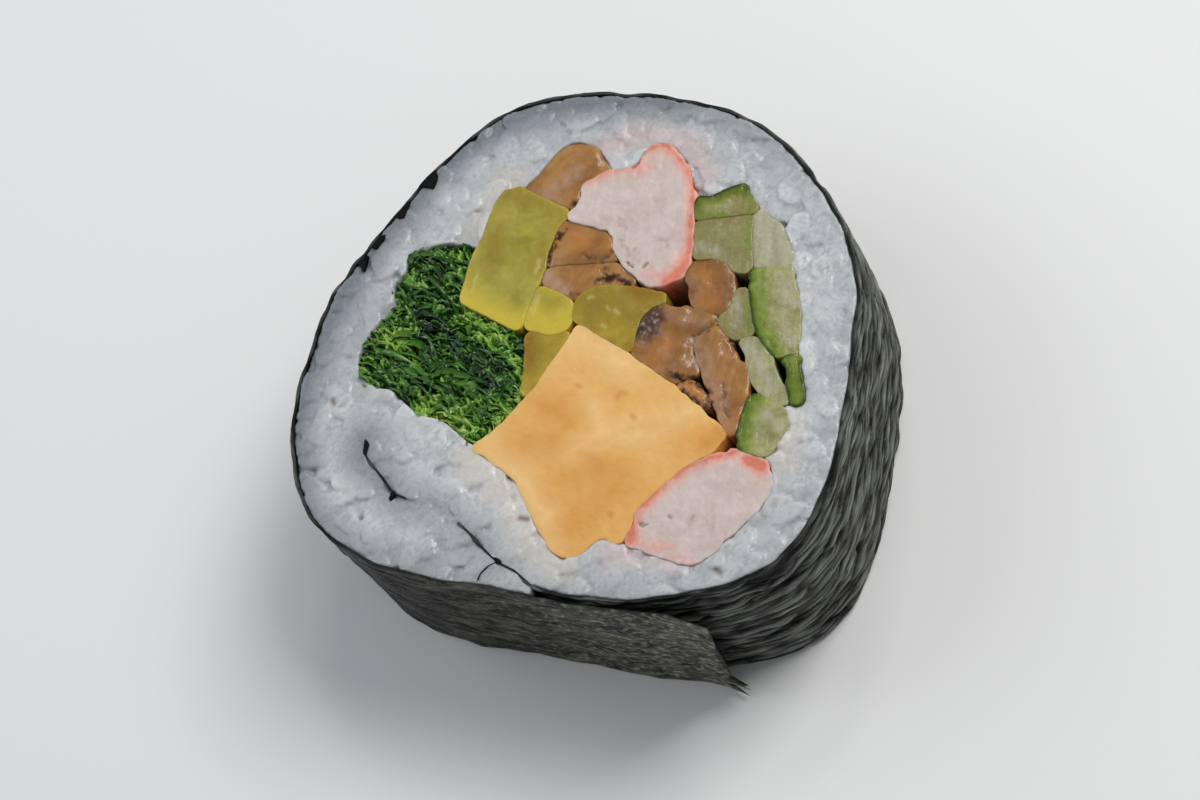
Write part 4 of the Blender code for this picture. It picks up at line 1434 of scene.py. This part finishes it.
def shaded_grains(piece):
    """Painted shade greys the rice beside the sheet and towards the upper left, and pink marks where a crab
    stick stained it.
    """
    flat = flat_places(piece)
    # Painted shade: a band beside the sheet, darker towards the upper left, and dim strokes
    band = np.clip(1 - distance_to_line(flat, rice_edge) / SHEET_SHOWS_WITHIN, 0, 1)
    upper_left = np.clip(0.6 + 0.45 * (flat[:, 1] - flat[:, 0]) / FACE_RADIUS, 0.25, 1)
    broad = 0.17 * np.clip((0.9 * flat[:, 1] - flat[:, 0]) / FACE_RADIUS, 0, 1)
    add_masks(piece, shade=band * upper_left + broad + 0.2 * strokes_mask(flat, DIM_STROKES, 3.5),
              blush=0.5 * strokes_mask(flat, BLUSH_STROKES, 2.2),
              warmth=0.6 * strokes_mask(flat, WARM_STROKES, 2.8),
              fleck=0.9 * strokes_mask(flat, FLECK_STROKES, 0.45))


for face_name, height, course, seed, proud in (
        ("front", THICKNESS, front_line, 1, 0.1), ("rear", 0.0, rear_line, 2, -0.15)):
    shifted = pressed(leaned(rice_flat, height), height, course)
    ground = ground_object("rice ground", shifted, rice_faces, THICKNESS, rice_finish)
    grains = grown("rice_grains_" + face_name, ground, rice_grains,
                   {"Seed": seed, "Cut Height": (THICKNESS + proud) * MM})
    parted_by_tail(grains, course)
    grains = fused(grains)
    shaded_grains(grains)
    if height == 0:
        mirrored(grains)
    finish_piece(grains, "rice")
    print(grains.name, len(grains.data.polygons), "faces")

# %% [markdown]
# ## The rice's core
#
# Under the grains lies the rest of the rice. The knife never shows it, so it is the model's own
# solid, copied, made a little shorter than the grains are deep, and drawn in a little from the
# sheet, whose wrinkles reach inwards.

# %% The rice's core
CORE_SUNK = 1.1
CORE_DRAWN_IN = 0.6
OUTER_RICE = 17.0
work = welded("rice_bed")
for vert in work.verts:
    vert.co.z = min(max(vert.co.z, CORE_SUNK * MM), (THICKNESS - CORE_SUNK) * MM)
    outwards = vert.co.xy - Vector(ROLL_AXIS) * MM
    if outwards.length > OUTER_RICE * MM:
        vert.co.xy -= outwards.normalized() * CORE_DRAWN_IN * MM
mesh = bpy.data.meshes.new("rice_core")
work.to_mesh(mesh)
work.free()
mesh.materials.append(rice_finish)
rice_core = in_scene("rice_core", mesh)
add_masks(rice_core, grain=0.1)
finish_piece(rice_core, "rice", "rice_bed")
print("rice core:", len(mesh.polygons), "faces")

# %% [markdown]
# ## The seaweed as a ribbon
#
# The sheet is a grid of points: along its course, and across from the front edge to the rear one. The
# outer side gets many rows, because its wrinkles show, and the inner side few. The cut edge is
# not quite even, it dips under the grains where the tail is covered, and the free end of
# the flap is torn into two prongs. Each point keeps its place along and across the sheet, which the
# wrinkles and the finish follow.

# %% The seaweed's ribbon
ROWS_OUTSIDE = 126
ROWS_INSIDE = 18
EDGE_WAVE = 0.25
TORN_LENGTH = 2.5
TAIL_LENGTH = 25.0
PRONGS = ((16.7, 1.9, 0.5), (19.5, 1.5, 0.35), (18.2, -0.7, 0.6), (9.0, -0.5, 2.5))


def waves(values, size, seed):
    return np.array([noise.fractal(Vector((value / size, seed * 9.1, 0)), 0.8, 2.0, 3) for value in values])


along = np.linspace(0, sheet_length, count_along)
covered = np.exp(-(np.linalg.norm(front_line - np.array(COVERED_TAIL), axis=1) / COVERED_LENGTH) ** 4)
in_tail = np.clip((TAIL_LENGTH - along) / 3, 0, 1)
half_thick = SHEET_THICKNESS / 2 * (1 - 0.4 * in_tail) * (1 + 0.5 * in_tail * waves(along, 1.2, 4))
edge_wave = EDGE_WAVE * (1 - 0.6 * in_tail) * waves(along, 3.0, 1)
top_edge = THICKNESS + edge_wave - 0.05 + 0.12 * in_tail - 2.0 * covered
rear_edge = 0.1 + 0.1 * waves(along, 3.0, 2)
near_end = np.clip(1 - (sheet_length - along) / TORN_LENGTH, 0, 1) ** 2


def sheet_rows(rows, side):
    """Rows of points on one side of the ribbon, from the front cut to the rear one."""
    points, places = [], []
    for share in np.linspace(0, 1, rows):
        line = (1 - share) * front_line + share * rear_line
        across = share * THICKNESS
        height = (1 - share) * top_edge + share * rear_edge
        torn = 0.2 * waves([across], 0.7, 3)[0] + sum(
            reach * math.exp(-((across - place) / width) ** 2) for place, reach, width in PRONGS)
        forward = np.gradient(line, axis=0) / STEP_ALONG
        line = pressed(line, height, line) + forward * (torn * near_end)[:, None]
        line = line + out_of(line) * side * half_thick[:, None]
        points.append(np.column_stack((line + ROLL_AXIS, height)) * MM)
        across_it, on_outside = np.full(count_along, across), np.full(count_along, side > 0)
        places.append(np.column_stack((along, across_it, on_outside)))
    return points, places


outer_points, outer_places = sheet_rows(ROWS_OUTSIDE, 1)
inner_points, inner_places = sheet_rows(ROWS_INSIDE, -1)
rings = np.stack([*outer_points, *inner_points[::-1]])
places = np.concatenate([*outer_places, *inner_places[::-1]])
row_count = len(rings)
quads = [
    (row * count_along + i, (row + 1) % row_count * count_along + i,
     (row + 1) % row_count * count_along + i + 1, row * count_along + i + 1)
    for row in range(row_count) for i in range(count_along - 1)
]
tail_cap = [row * count_along for row in reversed(range(row_count))]
flap_cap = [row * count_along + count_along - 1 for row in range(row_count)]
print("ribbon:", row_count, "rows of", count_along, "points")

# %% [markdown]
# ## Wrinkles in the seaweed
#
# Dried seaweed takes up water from the rice and shrinks into long wavy wrinkles that run round the
# roll. Noise that is stretched along the sheet gives them: where it crosses its middle value
# there is a narrow crease, and the creases split and meet as on the real sheet. Two layers, a coarse
# and a fine one, push the outer side in and out, and are kept together as the mask "ridge". The
# finish reads it: a crease is painted black as shade and is dull, a ridge is painted grey as sheen
# and is satin, with fibres in the same lanes. The flap lay free, so it is flat, drier and paler, and
# speckled towards its end; painted shade also makes it darker where it leaves the roll and lighter
# towards its end.

# %% Finish of the seaweed
FLAP_START, FLAP_END = 172.0 * MM, 204.0 * MM
seaweed_finish, tree, shader = new_finish("seaweed", 0.5, ior=1.45)
shader.inputs["Specular IOR Level"].default_value = 0.06
shader.inputs["Coat Roughness"].default_value = 0.5
tree.links.new(maths(tree, "MULTIPLY", read_mask(tree, "ridge"), 0.6), shader.inputs["Coat Weight"])


def sheet_noise(along_mm, across_mm, detail):
    """Noise that is stretched along the sheet, on its own lanes."""
    place = combined(tree, maths(tree, "DIVIDE", read_mask(tree, "along"), along_mm * MM),
                     maths(tree, "DIVIDE", read_mask(tree, "lane"), across_mm * MM))
    return noise_texture(tree, place, 1.0, detail)


# Painted shade and sheen: creases black, ridges grey
wrinkled = colour_ramp(tree, read_mask(tree, "ridge"), [
    (0.0, (0.002, 0.0025, 0.0025)), (0.20, (0.006, 0.007, 0.006)), (0.46, (0.044, 0.048, 0.042)),
    (1.0, (0.130, 0.138, 0.121))])
fibre_tone = colour_ramp(tree, sheet_noise(3.6, 0.32, 3.0), [
    (0.34, (0.12, 0.12, 0.12)), (0.46, (0.75, 0.75, 0.75)), (0.56, (1.05, 1.05, 1.05)),
    (0.72, (1.8, 1.8, 1.75))])
patch_tone = colour_ramp(tree, sheet_noise(2.6, 1.3, 4.0), [
    (0.36, (0.55, 0.55, 0.55)), (0.5, (1.0, 1.0, 1.0)), (0.64, (1.5, 1.5, 1.42))])
fibrous = vector_maths(tree, "MULTIPLY", vector_maths(tree, "MULTIPLY", wrinkled, fibre_tone), patch_tone)
flap_look = colour_ramp(tree, sheet_noise(3.0, 2.2, 5.0), [
    (0.35, (0.007, 0.008, 0.006)), (0.46, (0.024, 0.025, 0.019)), (0.56, (0.056, 0.057, 0.041)),
    (0.67, (0.110, 0.110, 0.078))])
to_end = map_range(tree, read_mask(tree, "along"), FLAP_START, FLAP_END)
speckle = maths(tree, "MULTIPLY_ADD", to_end, 0.08, sheet_noise(0.75, 0.55, 4.0))
speckles = colour_ramp(tree, speckle, [
    (0.54, (0.0, 0.0, 0.0)), (0.62, (0.045, 0.045, 0.032)), (0.72, (0.15, 0.15, 0.105))])
# Painted shade: the flap's colour is scaled darker where it leaves the roll, lighter towards its end
flap_tone = scaled(tree, vector_maths(tree, "ADD", flap_look, speckles),
                   maths(tree, "MULTIPLY_ADD", to_end, 1.15, 0.22))
by_place = mixed(tree, read_mask(tree, "flap"), fibrous, flap_tone)
tree.links.new(tinted(tree, by_place, rim=(0.008, 0.010, 0.009)), shader.inputs["Base Color"])
add_wet_film(tree, shader, 2.5, 0.42, 0.70, 0.06)

# %% Wrinkles by Geometry Nodes
WANDER_LENGTH = 7.0
wrinkles, given, result = new_growth("seaweed wrinkles", {
    "Coarse Length": 12.0 * MM, "Coarse Width": 2.2 * MM, "Coarse Depth": 0.30 * MM,
    "Fine Length": 5.5 * MM, "Fine Width": 1.0 * MM, "Fine Depth": 0.16 * MM, "Wander": 0.85 * MM,
    "Inwards": 0.15 * MM})
along_sheet, across_sheet, outer_side, free = (
    read_back(wrinkles, name) for name in ("along", "across", "outer", "free"))
on_sheet = combined(wrinkles, along_sheet, across_sheet)
wander = noise_texture(wrinkles, on_sheet, PER_METRE / WANDER_LENGTH, 2.0)
swing = maths(wrinkles, "MULTIPLY", maths(wrinkles, "SUBTRACT", wander, 0.5), given["Wander"])
lane = maths(wrinkles, "MULTIPLY_ADD", swing, 4.0, across_sheet)


def crease_layer(length, width, sharpness, seed):
    """0 in a crease, 1 between creases, stretched along the sheet."""
    place = combined(wrinkles, maths(wrinkles, "DIVIDE", along_sheet, length),
                     maths(wrinkles, "DIVIDE", lane, width), seed)
    level = maths(wrinkles, "SUBTRACT", noise_texture(wrinkles, place, 1.0, 1.0), 0.5)
    away = maths(wrinkles, "ABSOLUTE", level)
    return map_range(wrinkles, away, 0.0, sharpness, interpolation_type="SMOOTHSTEP")


coarse = crease_layer(given["Coarse Length"], given["Coarse Width"], 0.055, 1.7)
fine = crease_layer(given["Fine Length"], given["Fine Width"], 0.13, 5.3)
ridge = maths(wrinkles, "MULTIPLY", maths(wrinkles, "MULTIPLY_ADD", coarse, 0.75, 0.25),
              maths(wrinkles, "MULTIPLY_ADD", fine, 0.8, 0.2))
rise = maths(wrinkles, "MULTIPLY_ADD", fine, given["Fine Depth"],
             maths(wrinkles, "MULTIPLY", coarse, given["Coarse Depth"]))
rise = maths(wrinkles, "SUBTRACT", rise, given["Inwards"])
rise = maths(wrinkles, "MULTIPLY", maths(wrinkles, "MULTIPLY", rise, outer_side), free)
kept = stored(wrinkles, stored(wrinkles, given["Geometry"], "ridge", ridge), "lane", lane)
normal = put(wrinkles, "GeometryNodeInputNormal").outputs[0]
wrinkled_sheet = moved(wrinkles, kept, Offset=scaled(wrinkles, normal, rise))
real = put(wrinkles, "GeometryNodeRealizeInstances", {"Geometry": wrinkled_sheet})
ended(wrinkles, real.outputs[0], seaweed_finish, result)

# %% The seaweed
FLAP_LOOK_FROM = 165.0
FLAP_LOOK_FADE = 8
RIM_WIDTH = 0.35
FULL_WRINKLES_FROM = 0.6
flat_sheet = new_piece("flat sheet", rings.reshape(-1, 3), [*quads, tail_cap, flap_cap], seaweed_finish)
flap_share = np.clip((places[:, 0] - FLAP_LOOK_FROM) / FLAP_LOOK_FADE, 0, 1)
from_cut = np.minimum(places[:, 1], THICKNESS - places[:, 1])
add_masks(
    flat_sheet,
    along=places[:, 0] * MM,
    across=places[:, 1] * MM,
    outer=places[:, 2],
    flap=flap_share,
    rim=np.where(places[:, 2] > 0.5, 0.4 * (1 - from_cut / RIM_WIDTH), 1),
    free=(0.3 + 0.7 * np.clip(from_cut / FULL_WRINKLES_FROM, 0, 1)) * (1 - 0.8 * flap_share),
)
seaweed = grown("seaweed_sheet", flat_sheet, wrinkles, {})
seaweed.data.set_sharp_from_angle(angle=math.radians(50))
finish_piece(seaweed, "seaweed", "seaweed_wrap")
print("seaweed:", len(seaweed.data.polygons), "faces")

# %% [markdown]
# ## Folds in the sheet
#
# At a few places the damp sheet was pushed into the rice while rolling, and the knife cut
# through the little fold: a dark wedge beside the line. They are drawn on the cut face
# and go a few millimetres down. One fold is so thin that it is drawn as a line with a width.

# %% Folds in the sheet
FOLD_DEPTH = 4.0
FOLD_PROUD = 0.2
FOLDS = [
    [(-15.8, 19.1), (-14.9, 20.1), (-14.3, 20.7), (-13.9, 20.2), (-14.0, 19.4), (-14.4, 18.6), (-15.1, 18.9)],
    [(-18.2, 16.1), (-17.2, 17.3), (-16.7, 17.6), (-16.9, 16.7), (-17.2, 15.9), (-17.7, 15.8)],
    [(-21.9, 11.6), (-21.2, 12.2), (-20.7, 12.4), (-20.9, 11.6), (-21.0, 10.8), (-21.3, 10.9), (-21.4, 11.4)],
    [(-20.4, 13.2), (-19.4, 14.3), (-19.0, 14.4), (-19.3, 13.7), (-19.9, 13.0)],
    [(-20.1, -6.7), (-20.3, -7.4), (-20.3, -8.0), (-20.0, -8.2), (-19.9, -7.7), (-19.7, -7.2), (-19.9, -6.7)],
    [(-17.6, -12.7), (-17.4, -12.9), (-17.1, -12.6), (-16.9, -12.3), (-17.1, -11.9), (-17.4, -12.2)],
    [(-7.4, -19.3), (-7.1, -19.8), (-6.6, -20.0), (-6.6, -19.7), (-7.0, -19.4)],
]
THREADS = [([(-6.9, -19.8), (-7.8, -20.1), (-8.5, -20.7), (-8.8, -21.4)], 0.09)]


def thread_outline(stroke, width):
    """A narrow loop round a drawn line."""
    line = smoothed(even_steps(np.array(stroke), 0.2, closed=False), 1)
    side = out_of(line) * width / 2
    return np.vstack((line + side, (line - side)[::-1]))[::-1]


folds = [np.array(corners) for corners in FOLDS] + [thread_outline(*thread) for thread in THREADS]
for number, corners in enumerate(folds):
    fold = run_through(f"seaweed_fold_{number}", even_steps(corners, 0.15), seaweed_finish,
                       THICKNESS + FOLD_PROUD, rear=THICKNESS - FOLD_DEPTH, edge=0.1, step=0.15, levels=1)
    add_masks(fold, rim=0.9)
    finish_piece(fold, "seaweed")
print("folds:", len(folds))

# %% [markdown]
# ## Stage
#
# A plain pale floor, one large soft light from the right and behind, and a weak fill. The camera
# looks at the cut face along the photograph's line of sight. There the slice stood on edge and
# here it lies down, so the camera is rolled to keep the face the same way up.

# %% Stage
SKY = (0.93, 0.96, 1.0)
SLICE_MIDDLE = Vector((0, 0, THICKNESS / 2))
floor_finish, tree, shader = new_finish("floor", 0.6)
shader.inputs["Base Color"].default_value = (0.80, 0.80, 0.80, 1)
bpy.ops.mesh.primitive_plane_add(size=3.0)
floor = bpy.context.object
floor.name = "floor"
floor.data.materials.append(floor_finish)


def area_light(name, place, size, power, colour):
    """A square light that shines on the middle of the slice."""
    data = bpy.data.lights.new(name, "AREA")
    data.size = size * MM
    data.energy = power
    data.color = colour
    light = in_scene(name, data)
    light.location = Vector(place) * MM
    light.rotation_euler = (Vector(place) - SLICE_MIDDLE).to_track_quat("Z", "Y").to_euler()


area_light("key", (260, 190, 420), 260, 1.85, (1.0, 0.99, 0.97))
area_light("window", (50, 280, 420), 70, 0.16, (1.0, 1.0, 1.0))
area_light("fill", (-300, 60, 300), 300, 0.4, SKY)
world = bpy.data.worlds.new("room")
world.use_nodes = True
background = world.node_tree.nodes["Background"]
background.inputs["Color"].default_value = (*SKY, 1)
background.inputs["Strength"].default_value = 0.3
bpy.context.scene.world = world
bpy.context.scene.view_settings.view_transform = "Standard"

# %% Camera
LENS = 95.0
SEEN_FROM = 299.0
SEEN_FROM_AZIMUTH = math.radians(34.1)
SEEN_FROM_ELEVATION = math.radians(61.8)
PICTURE_ROLL = math.radians(36.7)

back = Vector((
    math.sin(SEEN_FROM_AZIMUTH) * math.cos(SEEN_FROM_ELEVATION),
    -math.cos(SEEN_FROM_AZIMUTH) * math.cos(SEEN_FROM_ELEVATION),
    math.sin(SEEN_FROM_ELEVATION),
))
level = Vector((math.cos(SEEN_FROM_AZIMUTH), math.sin(SEEN_FROM_AZIMUTH), 0))
right = Matrix.Rotation(-PICTURE_ROLL, 3, back) @ level
turned = Matrix((right, back.cross(right), back)).transposed().to_4x4()
camera = in_scene("camera", bpy.data.cameras.new("camera"))
camera.data.lens = LENS
camera.data.clip_start = 0.01
camera.matrix_world = Matrix.Translation((SLICE_MIDDLE + back * SEEN_FROM) * MM) @ turned
bpy.context.scene.camera = camera
